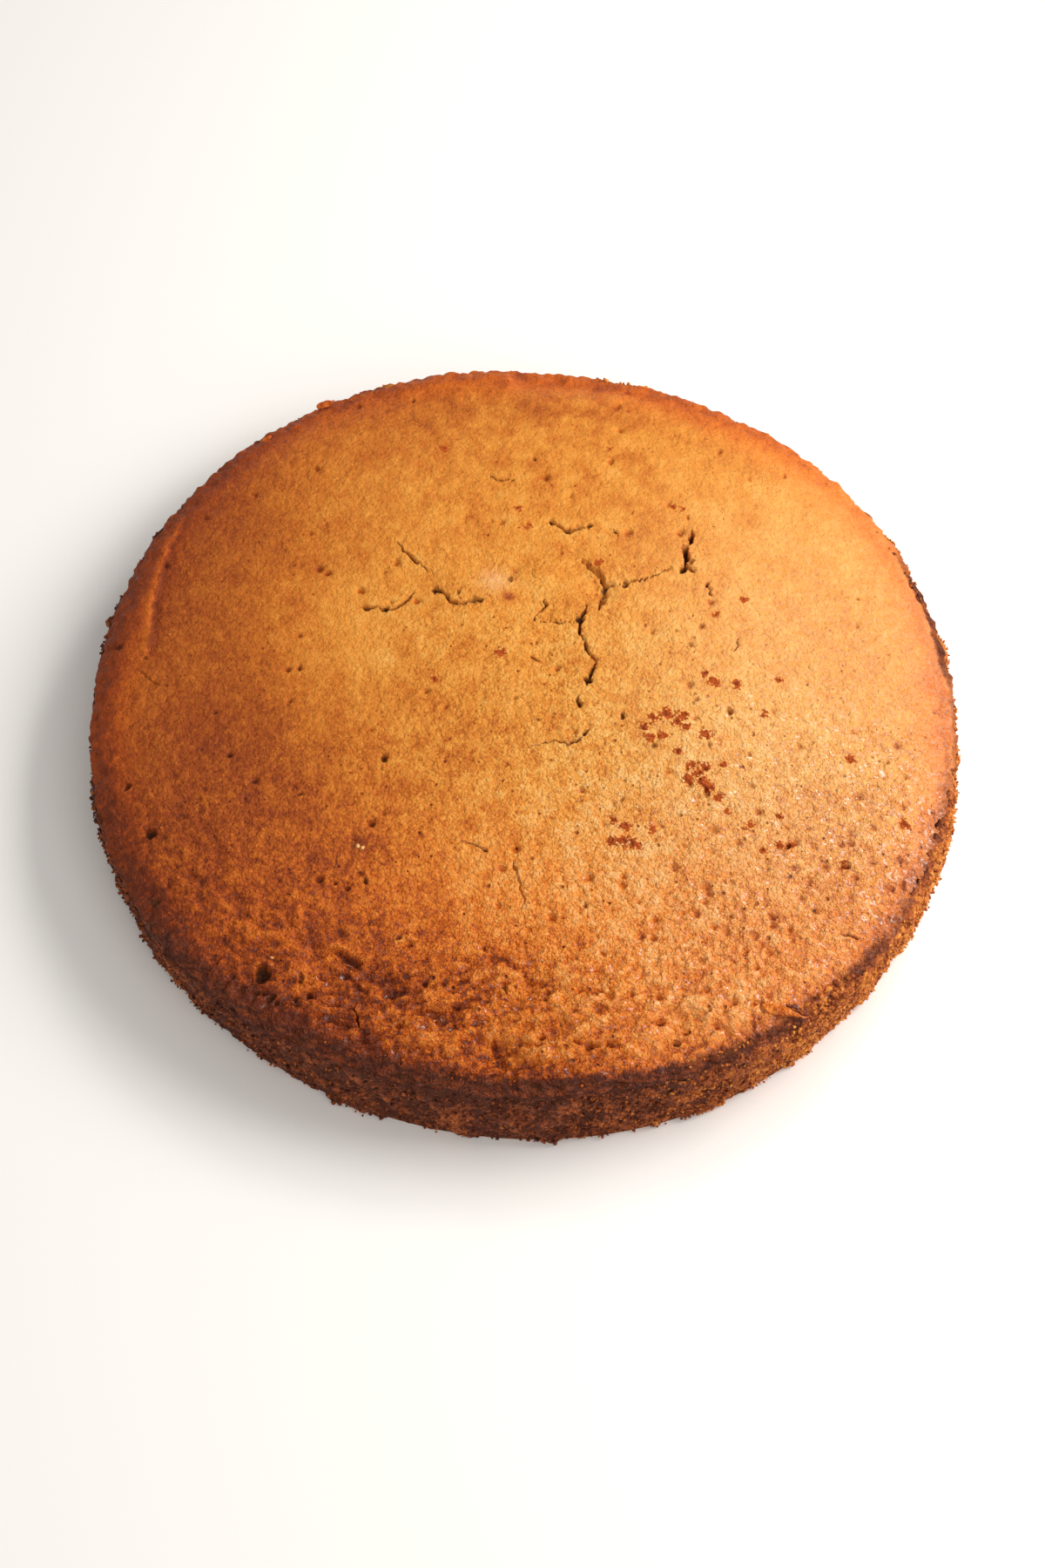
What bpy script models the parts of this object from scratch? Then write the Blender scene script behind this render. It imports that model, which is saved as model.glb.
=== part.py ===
"""A round single-layer cake, unfrosted and uncut, baked in a 23 cm tin.

The cake is one solid. Its flat base lies on z = 0 with the origin at the middle,
a rough crumb wall stands on it, a dark band of crust rolls over the rim, and the
crown rises from there to the middle. +Y is the back of the cake, -Y the front.
All sizes are in metres.
"""

import math
import random

import bmesh
import bpy
from mathutils import Vector, noise

# Driving sizes
FOOT_RADIUS = 0.113
RIM_RADIUS = 0.1144
WALL_HEIGHT = 0.0193
BAND_HEIGHT = 0.0045
BAND_INSET = 0.0027
CROWN_RISE = 0.0113
CROWN_POWER = 2.2
EDGE_DROP = 0.0017
EDGE_START = 0.88
EDGE_END = 1.12
FOOT_INSET = 0.0008
FOOT_HEIGHT = 0.0012

# How far the foot and the rim are out of round: cosine and sine part by lobes
FOOT_LOBES = {2: (-0.0005, -0.0002), 3: (-0.0004, 0.0005), 4: (-0.0002, 0.0002)}
RIM_LOBES = {1: (-0.0003, -0.0001), 2: (-0.0007, -0.0011), 3: (-0.0001, -0.0006), 4: (-0.0009, 0.0002)}

# Fineness of the mesh
CROWN_CELLS = 44
BAND_ROWS = 3
WALL_ROWS = 4

# Slow unevenness of the crown, and the lumpy patch that rose last, at its middle.
# A layer picks the slice of noise that a feature is read from.
SWELL_HEIGHT = 0.0007
SWELL_SIZE = 0.038
SWELL_LAYER = 1.5
SWELL_FADE = 0.9
LUMP_HEIGHT = 0.0011
LUMP_SIZE = 0.011
LUMP_LAYER = 9.3
LUMP_PATCH = (0.003, 0.026)
LUMP_PATCH_RADIUS = 0.030

# Wrinkles that run along the rim at the front
WRINKLE_HEIGHT = 0.0010
WRINKLE_WIDTH = 0.0095
WRINKLE_LENGTH = 0.026
WRINKLE_LAYER = 5.0
WRINKLE_START = 0.70
WRINKLE_FULL = 0.88
WRINKLE_MIDDLE = math.radians(262)
WRINKLE_SPREAD = math.radians(62)

# The hump on the back rim, which ends abruptly at a sag to its right
HUMP_HEIGHT = 0.0014
HUMP_START_X = (-0.044, -0.028)
HUMP_END_X = (-0.0060, -0.0030)
SAG_DEPTH = 0.0018
SAG_MIDDLE_X = 0.011
SAG_SPREAD = 0.015
BACK_RIM_Y = (0.0904, 0.1084)

# How rough the torn wall is: broad hollows and fine crumb
WALL_COARSE = 0.0012
WALL_COARSE_SIZE = 0.0125
WALL_FINE = 0.0020
WALL_FINE_SIZE = 0.0042

# The lip that stands outside the groove at the left
LIP_HEIGHT = 0.0013
LIP_MIDDLE = math.radians(168)
LIP_SPREAD = math.radians(15)
LIP_RHO = 0.965
LIP_WIDTH = 0.035

# Hollows in the crust near the front rim: x, y, radius, depth
FRONT_HOLLOWS = [
    (0.0021, -0.0848, 0.0045, 0.0014),
    (-0.0340, -0.0878, 0.0050, 0.0012),
    (-0.0073, -0.1020, 0.0060, 0.0018),
    (-0.0495, -0.0790, 0.0060, 0.0010),
    (0.0375, -0.0965, 0.0050, 0.0012),
]

# Cracks in the crust: each is a width, a depth and the points that it runs through
CRACKS = {
    "main": (0.0018, 0.0045, [
        (0.0153, 0.0386), (0.0198, 0.0337), (0.0205, 0.0311), (0.0189, 0.0234), (0.0157, 0.0248),
        (0.0150, 0.0222), (0.0139, 0.0198), (0.0134, 0.0159), (0.0156, 0.0100), (0.0172, 0.0037),
        (0.0154, -0.0023), (0.0136, -0.0056), (0.0138, -0.0080)]),
    "east": (0.0011, 0.0030, [
        (0.0212, 0.0309), (0.0258, 0.0316), (0.0285, 0.0332), (0.0350, 0.0357), (0.0371, 0.0376)]),
    "north_east": (0.0017, 0.0040, [
        (0.0439, 0.0511), (0.0436, 0.0483), (0.0421, 0.0453), (0.0425, 0.0420), (0.0407, 0.0364)]),
    "north": (0.0009, 0.0022, [(0.0054, 0.0535), (0.0105, 0.0495), (0.0165, 0.0516)]),
    "middle": (0.0009, 0.0022, [(0.0043, 0.0265), (0.0050, 0.0242), (0.0016, 0.0193)]),
    "west_upper": (0.0008, 0.0020, [
        (-0.0344, 0.0458), (-0.0313, 0.0408), (-0.0280, 0.0380), (-0.0250, 0.0349)]),
    "west_middle": (0.0010, 0.0026, [
        (-0.0244, 0.0295), (-0.0219, 0.0286), (-0.0179, 0.0245), (-0.0111, 0.0259)]),
    "west_lower": (0.0010, 0.0026, [
        (-0.0441, 0.0244), (-0.0375, 0.0241), (-0.0329, 0.0248), (-0.0294, 0.0288)]),
    "south": (0.0009, 0.0022, [
        (0.0003, -0.0211), (0.0047, -0.0190), (0.0114, -0.0194), (0.0169, -0.0143)]),
    "front_slit": (0.0011, 0.0026, [(-0.0414, -0.0913), (-0.0402, -0.0964)]),
    "left_groove": (0.0040, 0.0014, [
        (-0.0972, 0.0393), (-0.0979, 0.0336), (-0.0990, 0.0281), (-0.0995, 0.0232),
        (-0.0999, 0.0154), (-0.1003, 0.0112), (-0.0993, 0.0066), (-0.0959, 0.0036)]),
}
CRACK_HEADROOM = 0.0020
CRACK_TIP_SHARE = 0.35

# Burst bubbles and pores large enough to see from a step away: x, y, radius, stretch along y
PORES = [
    (-0.0643, -0.0817, 0.0021, 1.35), (-0.0619, -0.0876, 0.0012, 1.0),
    (-0.0524, -0.0882, 0.0012, 1.0), (-0.0944, -0.0415, 0.0015, 1.2),
    (-0.0929, -0.0609, 0.0018, 1.3), (-0.1014, -0.0269, 0.0012, 1.0),
    (-0.0359, -0.0233, 0.0012, 1.3), (-0.0570, -0.0332, 0.0010, 1.0),
    (-0.0393, -0.0582, 0.0011, 1.2), (0.0454, 0.0188, 0.0011, 1.0),
    (0.0436, -0.0048, 0.0010, 1.0), (0.0522, -0.0074, 0.0011, 1.0),
    (0.0559, -0.0944, 0.0014, 1.0), (0.0972, -0.0548, 0.0013, 1.9),
    (0.0423, -0.0246, 0.0012, 1.2), (0.0659, -0.0461, 0.0012, 1.0),
    (0.0804, -0.0507, 0.0013, 1.0), (0.0105, 0.0495, 0.0012, 1.0),
]
PORE_SINK = 0.25

# Crumbs torn out of the wall. The large ones: degrees round from +X, height and radius
LARGE_CRUMBS = [
    (164.5, 0.0175, 0.0019), (3.4, 0.0110, 0.0020), (-3.3, 0.0100, 0.0020), (-12.8, 0.0110, 0.0015),
    (-27.0, 0.0100, 0.0018), (-47.0, 0.0150, 0.0024), (-51.0, 0.0080, 0.0016), (90.2, 0.0185, 0.0016),
]
CRUMB_COUNT = 56
CRUMB_SIZES = (0.0011, 0.0018)
CRUMB_LEVELS = (0.0028, 0.0175)
CRUMB_SINK = 0.15
CORNER_JITTER = (0.85, 1.15)
DRAW_SEED = 23

# The splinter of crust that has torn free at the front right, from root to tip
SPLINTER_ROOT = (0.0580, -0.0886, 0.0250)
SPLINTER_TIP = (0.0742, -0.0916, 0.0242)
SPLINTER_WIDTH = 0.0042
SPLINTER_TIP_WIDTH = 0.0005
SPLINTER_THICKNESS = 0.0016

# Finish
CRUST_COLOUR = (0.42, 0.16, 0.035, 1.0)
CRUST_ROUGHNESS = 0.55


def clear_scene():
    """Remove every object that the scene starts with."""
    for thing in list(bpy.data.objects):
        bpy.data.objects.remove(thing, do_unlink=True)


def lobed(angle, lobes):
    """Sum of the lobes at an angle, which is how far the radius is off round."""
    return sum(c * math.cos(n * angle) + s * math.sin(n * angle) for n, (c, s) in lobes.items())


def wall_radius(angle, height):
    """Radius of the wall at an angle, drawn straight from the foot to the rim."""
    share = min(height / WALL_HEIGHT, 1.0)
    foot = FOOT_RADIUS + lobed(angle, FOOT_LOBES)
    rim = RIM_RADIUS + lobed(angle, RIM_LOBES)
    return foot + share * (rim - foot)


def rim_radius(angle):
    """Radius at which the band of crust meets the crown."""
    return wall_radius(angle, WALL_HEIGHT) - BAND_INSET


def bell(distance, spread):
    """A smooth bump: 1 at no distance and nearly 0 at two spreads."""
    return math.exp(-(distance / spread) ** 2)


def step(value, low, high):
    """0 below low, 1 above high and a smooth rise between them."""
    share = min(max((value - low) / (high - low), 0.0), 1.0)
    return share * share * (3 - 2 * share)


def turn_from(angle, middle):
    """The turn from one direction to another, at most half round either way."""
    return (angle - middle + math.pi) % math.tau - math.pi


def grain(x, y, size, layer):
    """Smooth noise of a given size, the same on every run."""
    return noise.noise(Vector((x / size, y / size, layer)))


def back_rim_height(x, y):
    """The hump and the sag of the back rim."""
    hump = step(x, *HUMP_START_X) * (1 - step(x, *HUMP_END_X))
    sag = bell(x - SAG_MIDDLE_X, SAG_SPREAD)
    return step(y, *BACK_RIM_Y) * (HUMP_HEIGHT * hump - SAG_DEPTH * sag)


def wrinkle_height(rho, angle):
    """Ripples of set crust that follow the rim across the front."""
    turn = turn_from(angle, WRINKLE_MIDDLE)
    reach = step(rho, WRINKLE_START, WRINKLE_FULL) * bell(turn, WRINKLE_SPREAD)
    across = rho * RIM_RADIUS * WRINKLE_LENGTH / WRINKLE_WIDTH
    return WRINKLE_HEIGHT * reach * grain(turn * RIM_RADIUS, across, WRINKLE_LENGTH, WRINKLE_LAYER)


def crown_height(x, y):
    """Height of the crown over a point of the base."""
    angle = math.atan2(y, x)
    rho = math.hypot(x, y) / rim_radius(angle)
    height = WALL_HEIGHT + BAND_HEIGHT + CROWN_RISE * (1 - rho ** CROWN_POWER)
    height += EDGE_DROP * (1 - step(rho, EDGE_START, EDGE_END) * 2)
    inside = 1 - step(rho, SWELL_FADE, 1.0)
    height += inside * SWELL_HEIGHT * grain(x, y, SWELL_SIZE, SWELL_LAYER)
    lumpy = bell(math.hypot(x - LUMP_PATCH[0], y - LUMP_PATCH[1]), LUMP_PATCH_RADIUS)
    height += lumpy * LUMP_HEIGHT * grain(x, y, LUMP_SIZE, LUMP_LAYER)
    height += wrinkle_height(rho, angle)
    height += back_rim_height(x, y)
    lip = bell(turn_from(angle, LIP_MIDDLE), LIP_SPREAD) * bell(rho - LIP_RHO, LIP_WIDTH)
    height += lip * LIP_HEIGHT
    for hollow_x, hollow_y, radius, depth in FRONT_HOLLOWS:
        height -= depth * bell(math.hypot(x - hollow_x, y - hollow_y), radius)
    return height


def disc_place(across, along):
    """Map a point of the square from -1 to 1 onto the unit disc, ring by ring."""
    if across == 0 and along == 0:
        return 0.0, 0.0
    if abs(across) > abs(along):
        rho, angle = across, math.pi / 4 * along / across
    else:
        rho, angle = along, math.pi / 2 - math.pi / 4 * across / along
    return rho * math.cos(angle), rho * math.sin(angle)


def wall_roughness(angle, height):
    """How far the torn crumb stands in or out at a place on the wall."""
    place = Vector((FOOT_RADIUS * math.cos(angle), FOOT_RADIUS * math.sin(angle), height))
    coarse = noise.noise(place / WALL_COARSE_SIZE)
    fine = noise.noise(place / WALL_FINE_SIZE)
    return WALL_COARSE * coarse + WALL_FINE * fine


def side_profile():
    """The rows below the crown: share of the band's roll, height and share of the foot's inset."""
    rows = []
    for row in range(1, BAND_ROWS + 1):
        turn = math.pi / 2 * row / BAND_ROWS
        rows.append((math.sin(turn), WALL_HEIGHT + BAND_HEIGHT * math.cos(turn), 0.0))
    for row in range(1, WALL_ROWS + 1):
        height = FOOT_HEIGHT + (WALL_HEIGHT - FOOT_HEIGHT) * (1 - row / WALL_ROWS)
        rows.append((1.0, height, 0.0))
    rows.append((1.0, 0.0, 1.0))
    return rows


def side_place(angle, roll, height, inset):
    """Place of a point on the side of the cake."""
    radius = wall_radius(angle, height) - BAND_INSET * (1 - roll) - FOOT_INSET * inset
    top = height
    if height >= WALL_HEIGHT:
        rim = crown_height(rim_radius(angle) * math.cos(angle), rim_radius(angle) * math.sin(angle))
        share = (height - WALL_HEIGHT) / BAND_HEIGHT
        top = WALL_HEIGHT + (rim - WALL_HEIGHT) * share
    elif inset == 0.0:
        radius += wall_roughness(angle, height)
    return Vector((radius * math.cos(angle), radius * math.sin(angle), top))


def cake_body():
    """The cake without its cracks: a crown from a grid, its rim drawn down to a flat base."""
    shape = bmesh.new()
    bmesh.ops.create_grid(shape, x_segments=CROWN_CELLS, y_segments=CROWN_CELLS, size=1.0)
    for vert in shape.verts:
        across, along = disc_place(vert.co.x, vert.co.y)
        angle = math.atan2(along, across)
        x = across * rim_radius(angle)
        y = along * rim_radius(angle)
        vert.co = (x, y, crown_height(x, y))
    edge = [e for e in shape.edges if e.is_boundary]
    for roll, height, inset in side_profile():
        drawn = bmesh.ops.extrude_edge_only(shape, edges=edge)["geom"]
        edge = [item for item in drawn if isinstance(item, bmesh.types.BMEdge) and item.is_boundary]
        for vert in {v for e in edge for v in e.verts}:
            angle = math.atan2(vert.co.y, vert.co.x)
            vert.co = side_place(angle, roll, height, inset)
    bmesh.ops.contextual_create(shape, geom=edge)
    bmesh.ops.recalc_face_normals(shape, faces=shape.faces)
    return as_object("cake", shape)


def as_object(name, shape):
    """Turn a bmesh into an object of the scene."""
    mesh = bpy.data.meshes.new(name)
    shape.to_mesh(mesh)
    shape.free()
    thing = bpy.data.objects.new(name, mesh)
    bpy.context.scene.collection.objects.link(thing)
    return thing


def crack_cutter(name, width, depth, points):
    """A wedge that runs along a crack, sharp below and narrowing to nothing at both ends."""
    shape = bmesh.new()
    rows = []
    last = len(points) - 1
    for index, (x, y) in enumerate(points):
        before = Vector(points[max(index - 1, 0)])
        after = Vector(points[min(index + 1, last)])
        run = (after - before).normalized()
        side = Vector((-run.y, run.x))
        fade = CRACK_TIP_SHARE if index in (0, last) else 1.0
        top = crown_height(x, y)
        reach = width / 2 * fade * (1 + CRACK_HEADROOM / depth)
        rows.append((
            shape.verts.new((x + side.x * reach, y + side.y * reach, top + CRACK_HEADROOM)),
            shape.verts.new((x - side.x * reach, y - side.y * reach, top + CRACK_HEADROOM)),
            shape.verts.new((x, y, top - depth * fade))))
    for row, following in zip(rows, rows[1:]):
        for left, right in ((0, 1), (1, 2), (2, 0)):
            shape.faces.new((row[left], row[right], following[right], following[left]))
    bmesh.ops.contextual_create(shape, geom=rows[0])
    bmesh.ops.contextual_create(shape, geom=rows[-1])
    bmesh.ops.triangulate(shape, faces=shape.faces)
    bmesh.ops.recalc_face_normals(shape, faces=shape.faces)
    return as_object(name, shape)


def ball(name, place, radius, stretch, draw):
    """A rough ball of 20 faces, its corners moved in and out by a seeded draw."""
    shape = bmesh.new()
    bmesh.ops.create_icosphere(shape, subdivisions=1, radius=radius)
    for vert in shape.verts:
        vert.co *= draw.uniform(*CORNER_JITTER)
        vert.co.y *= stretch
        vert.co += Vector(place)
    return as_object(name, shape)


def pore_cutters(draw):
    """Balls that sit in the crust and leave its pores and burst bubbles."""
    cutters = []
    for index, (x, y, radius, stretch) in enumerate(PORES):
        place = (x, y, crown_height(x, y) - radius * PORE_SINK)
        cutters.append(ball(f"pore_{index}", place, radius, stretch, draw))
    return cutters


def wall_crumbs(draw):
    """The crumbs that stand out of the wall, spread evenly round it and jittered."""
    crumbs = []
    places = [(math.radians(turn), height, size) for turn, height, size in LARGE_CRUMBS]
    for index in range(CRUMB_COUNT):
        angle = math.tau * (index + draw.uniform(-0.3, 0.3)) / CRUMB_COUNT
        places.append((angle, draw.uniform(*CRUMB_LEVELS), draw.uniform(*CRUMB_SIZES)))
    for index, (angle, height, size) in enumerate(places):
        radius = wall_radius(angle, height) + wall_roughness(angle, height) - size * CRUMB_SINK
        place = (radius * math.cos(angle), radius * math.sin(angle), height)
        crumbs.append(ball(f"crumb_{index}", place, size, 1.0, draw))
    return crumbs


def crust_splinter():
    """A thin pointed shard of crust, still joined to the rim at its root."""
    shape = bmesh.new()
    root = Vector(SPLINTER_ROOT)
    run = Vector(SPLINTER_TIP) - root
    bmesh.ops.create_cone(shape, cap_ends=True, segments=6, radius1=SPLINTER_WIDTH / 2,
                          radius2=SPLINTER_TIP_WIDTH / 2, depth=run.length)
    flatten = Vector((1.0, SPLINTER_THICKNESS / SPLINTER_WIDTH, 1.0))
    bmesh.ops.scale(shape, vec=flatten, verts=shape.verts)
    bmesh.ops.rotate(shape, matrix=run.to_track_quat("Z", "Y").to_matrix(), verts=shape.verts)
    bmesh.ops.translate(shape, vec=root + run / 2, verts=shape.verts)
    bmesh.ops.recalc_face_normals(shape, faces=shape.faces)
    return as_object("splinter", shape)


def combine(body, name, pieces, operation):
    """Cut or join a group of pieces by one Boolean, apply it, and remove the pieces."""
    group = bpy.data.collections.new(name)
    bpy.context.scene.collection.children.link(group)
    for piece in pieces:
        bpy.context.scene.collection.objects.unlink(piece)
        group.objects.link(piece)
    change = body.modifiers.new(name, "BOOLEAN")
    change.operation = operation
    change.operand_type = "COLLECTION"
    change.collection = group
    change.solver = "EXACT"
    changed = body.evaluated_get(bpy.context.evaluated_depsgraph_get())
    result = bpy.data.meshes.new_from_object(changed)
    body.modifiers.remove(change)
    body.data = result
    for piece in pieces:
        bpy.data.objects.remove(piece, do_unlink=True)
    bpy.data.collections.remove(group)


def crust_material():
    """Baked crust: golden brown, dull with a faint sugar shine."""
    material = bpy.data.materials.new("baked_crust")
    material.use_nodes = True
    shader = material.node_tree.nodes["Principled BSDF"]
    shader.inputs["Base Color"].default_value = CRUST_COLOUR
    shader.inputs["Roughness"].default_value = CRUST_ROUGHNESS
    shader.inputs["Metallic"].default_value = 0.0
    return material


def build_cake():
    """Make the body, open its cracks and pores, fuse its crumbs, and finish it."""
    draw = random.Random(DRAW_SEED)
    cake = cake_body()
    cutters = [crack_cutter(f"crack_{name}", *values) for name, values in CRACKS.items()]
    combine(cake, "openings", cutters + pore_cutters(draw), "DIFFERENCE")
    combine(cake, "relief", wall_crumbs(draw) + [crust_splinter()], "UNION")
    cake.data.materials.clear()
    cake.data.materials.append(crust_material())
    cake.data.shade_smooth()
    cake.data.set_sharp_from_angle(angle=math.radians(50))


clear_scene()
build_cake()
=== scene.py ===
import math
import random

import bmesh
import bpy
import numpy as np
from mathutils import Matrix, Vector, noise


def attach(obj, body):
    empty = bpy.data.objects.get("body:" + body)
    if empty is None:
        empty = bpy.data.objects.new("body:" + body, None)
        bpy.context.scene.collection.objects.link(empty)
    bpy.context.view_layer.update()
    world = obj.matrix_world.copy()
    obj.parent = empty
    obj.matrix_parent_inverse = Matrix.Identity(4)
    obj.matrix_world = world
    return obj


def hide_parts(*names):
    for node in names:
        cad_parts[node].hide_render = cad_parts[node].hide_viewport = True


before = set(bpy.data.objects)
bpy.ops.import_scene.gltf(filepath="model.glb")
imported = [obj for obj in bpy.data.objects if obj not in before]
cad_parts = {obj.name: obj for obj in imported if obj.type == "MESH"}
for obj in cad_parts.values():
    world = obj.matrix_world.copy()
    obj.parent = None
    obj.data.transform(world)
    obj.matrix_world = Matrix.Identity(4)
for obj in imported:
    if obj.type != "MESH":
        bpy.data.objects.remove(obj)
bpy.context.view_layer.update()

# The crust: the skin that the top of the batter bakes into. It domes in the tin, cracks where
# the middle rises last, and rolls over the rim in a dark smooth band. The crumb grows out of
# its underside, so the skin is closed below, just inside the cake.

FOOT_RADIUS = 0.113
RIM_RADIUS = 0.1144
WALL_HEIGHT = 0.0193
BAND_HEIGHT = 0.0045
BAND_INSET = 0.0027
CROWN_RISE = 0.0113
CROWN_POWER = 2.2
EDGE_DROP = 0.0017
EDGE_REACH = (0.88, 1.12)
SHOULDER_INSET = 0.0055
SHOULDER_SLOPE = 0.50
FOOT_LOBES = {2: (-0.0005, -0.0002), 3: (-0.0004, 0.0005), 4: (-0.0002, 0.0002)}
RIM_LOBES = {1: (-0.0003, -0.0001), 2: (-0.0007, -0.0011), 3: (-0.0001, -0.0006), 4: (-0.0009, 0.0002)}

# Relief by noise: height, size, layer. An arc of the rim: its middle and its spread, in degrees
SWELL = (0.0007, 0.038, 1.5)
SWELL_FADE = 0.9
LUMPS = (0.0011, 0.011, 9.3)
LUMPS_SPOT = (0.003, 0.026, 0.030)
WRINKLES = (0.0010, 0.026, 5.0)
WRINKLE_WIDTH = 0.0095
WRINKLE_REACH = (0.70, 0.88)
WRINKLE_ARC = (262, 62)
PEBBLES = (0.00056, 0.0021, 2.2)
FURROW_HEIGHT = 0.0018
FURROW_WIDTH = 0.0032
FURROW_LENGTH = 0.0112
FURROW_LAYER = 7.7
FURROW_WARP = (0.0022, 0.0090)
FURROW_TWIST = 0.20
FURROW_CREASES = 0.40
FURROW_CREASE_FINER = 2.4
FURROW_ARC = (260, 50)

HUMP_HEIGHT = 0.0014
HUMP_START_X = (-0.044, -0.028)
HUMP_END_X = (-0.0060, -0.0030)
SAG_DEPTH = 0.0018
SAG_MIDDLE_X = 0.011
SAG_SPREAD = 0.015
BACK_RIM_Y = (0.0990, 0.1095)
LIP_HEIGHT = 0.0013
LIP_ARC = (168, 15)
LIP_RHO = 0.965
LIP_WIDTH = 0.035

# Hollows pressed into the crust, and the blister that rose beside the middle: x, y, radius and
# depth. The lengths in this and the next tables are in tenths of a millimetre
HOLLOWS = [
    (21, -848, 45, 14), (-340, -878, 50, 12), (-73, -1020, 50, 25), (-495, -790, 60, 10),
    (375, -965, 50, 12), (185, 300, 30, 9), (-200, -940, 60, 5), (-46, 282, 60, -8),
]

# Cracks: width, depth, and x and y of the points that each runs through. The soft ones only sag
CRACKS = [
    (9, 22, 153, 386, 180, 360, 196, 330, 203, 305, 190, 262, 187, 228),
    (9, 26, 157, 248, 150, 222, 139, 198, 134, 159, 148, 128, 156, 100, 177, 62, 172, 37, 158, 4, 154, -23),
    (9, 22, 136, -51, 134, -66, 138, -86),
    (8, 26, 205, 308, 258, 316, 285, 332, 329, 347, 350, 357, 371, 376),
    (21, 36, 439, 511, 436, 483, 421, 453, 425, 420, 417, 392, 405, 360), (8, 20, 417, 392, 440, 367),
    (9, 22, 474, 336, 476, 310, 481, 287), (9, 22, 551, 157, 546, 131, 538, 108),
    (8, 22, 54, 535, 105, 495, 140, 503, 165, 516), (6, 10, 227, 503, 241, 479),
    (7, 14, -101, 692, -73, 676, -37, 679), (5, 12, 127, 192, 80, 188, 35, 188),
    (9, 20, 43, 265, 50, 242, 16, 193), (8, 20, -344, 458, -313, 408, -280, 380, -250, 349),
    (9, 24, -244, 295, -219, 286, -197, 251, -179, 245, -134, 256, -111, 259),
    (9, 24, -441, 244, -375, 241, -363, 226, -329, 248, -294, 288),
    (7, 20, 3, -211, 47, -190, 85, -187, 114, -194, 136, -175, 169, -143), (5, 10, 10, 81, 35, 59),
    (9, 12, -162, -475, -125, -487, -90, -507), (12, 26, -414, -913, -402, -964),
    (9, 16, 785, -694, 831, -696),
]
SOFT_CRACKS = [
    (26, 15, 145, 398, 180, 360, 198, 337, 205, 311, 198, 275, 189, 234),
    (6, 8, -31, -535, -20, -566, 2, -653), (12, 5, -1010, 85, -993, 66, -959, 36, -927, 22),
]
# The noise that a drawn line wavers by: height, size, layers. Where a crack widens: size, layer
CRACK_WAVER = (0.0007, 0.0016, 3.3, 6.1)
CRACK_NODES = (0.0030, 9.4)
# How much painted shade darkens a soft crack
SOFT_CRACK_SHADE = 0.28

# Creases that the skin puckered into at the front: width, depth (a minus raises a small ridge),
# and x and y of the points that each runs through
PUCKERS = [
    (16, 9, -453, -827, -422, -848, -392, -874, -368, -881), (13, 6, -513, -822, -496, -837, -476, -849),
    (22, 9, -450, -775, -406, -813, -366, -850, -332, -876),
    (24, 12, -352, -897, -336, -882, -301, -881, -263, -886),
    (30, 7, -254, -919, -221, -938, -183, -953, -142, -965),
    (13, 8, -216, -860, -184, -856, -152, -858, -118, -860), (13, 6, -153, -790, -142, -808, -136, -827),
    (15, 9, -106, -799, -57, -797, -24, -811, -3, -829), (16, 10, -3, -829, 10, -849, 31, -853),
    (18, 7, -80, -987, -69, -1017, -56, -1039, -73, -1058), (12, 6, -342, -977, -310, -982, -274, -987),
    (12, 6, -488, -948, -458, -954, -423, -959), (13, 7, 143, -882, 185, -877, 224, -894),
    (14, 8, 109, -1007, 143, -1012, 173, -1018), (11, 7, -1, -1015, 24, -1014, 50, -1018),
    (11, 6, 60, -1014, 86, -1022), (12, 7, 356, -1001, 377, -998, 394, -991),
    (12, 6, 424, -1007, 449, -1001), (17, 9, -402, -962, -393, -987, -375, -1013),
    (13, 5, -161, -1002, -118, -1015), (11, 5, -256, -1033, -217, -1040), (12, 6, 234, -1034, 260, -1037),
    (11, 5, -120, -898, -83, -905), (11, 5, -179, -918, -128, -925), (11, 5, -28, -921, 21, -927),
    (11, 5, -49, -954, 0, -960), (30, -7, -393, -827, -371, -848, -349, -868),
    (35, -8, -370, -895, -333, -913, -279, -941), (26, -6, 83, -1011, 117, -996, 156, -986, 190, -1005),
    (24, -6, 104, -932, 121, -958, 151, -977), (40, -8, -89, -818, -35, -833, -7, -853),
    (30, -6, 143, -900, 179, -895, 222, -909), (34, -6, -216, -878, -182, -874),
    (50, -8, -343, -940, -278, -959, -235, -986), (40, -7, -23, -1021, 41, -1040, 84, -1042),
]
PUCKER_WAVER = (0.0009, 0.0024, 1.9, 8.3)

# The fold at the left, where the risen rim laps over the crown with a small step down
FOLD = [
    (-905, 620), (-950, 509), (-972, 394), (-985, 306), (-985, 218), (-990, 140), (-991, 71),
]
FOLD_STEP = 0.0010
FOLD_OUTER = 0.0040
FOLD_INNER = 0.0026
FOLD_EDGE = 0.0010
FOLD_SHADE = 0.16

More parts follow.
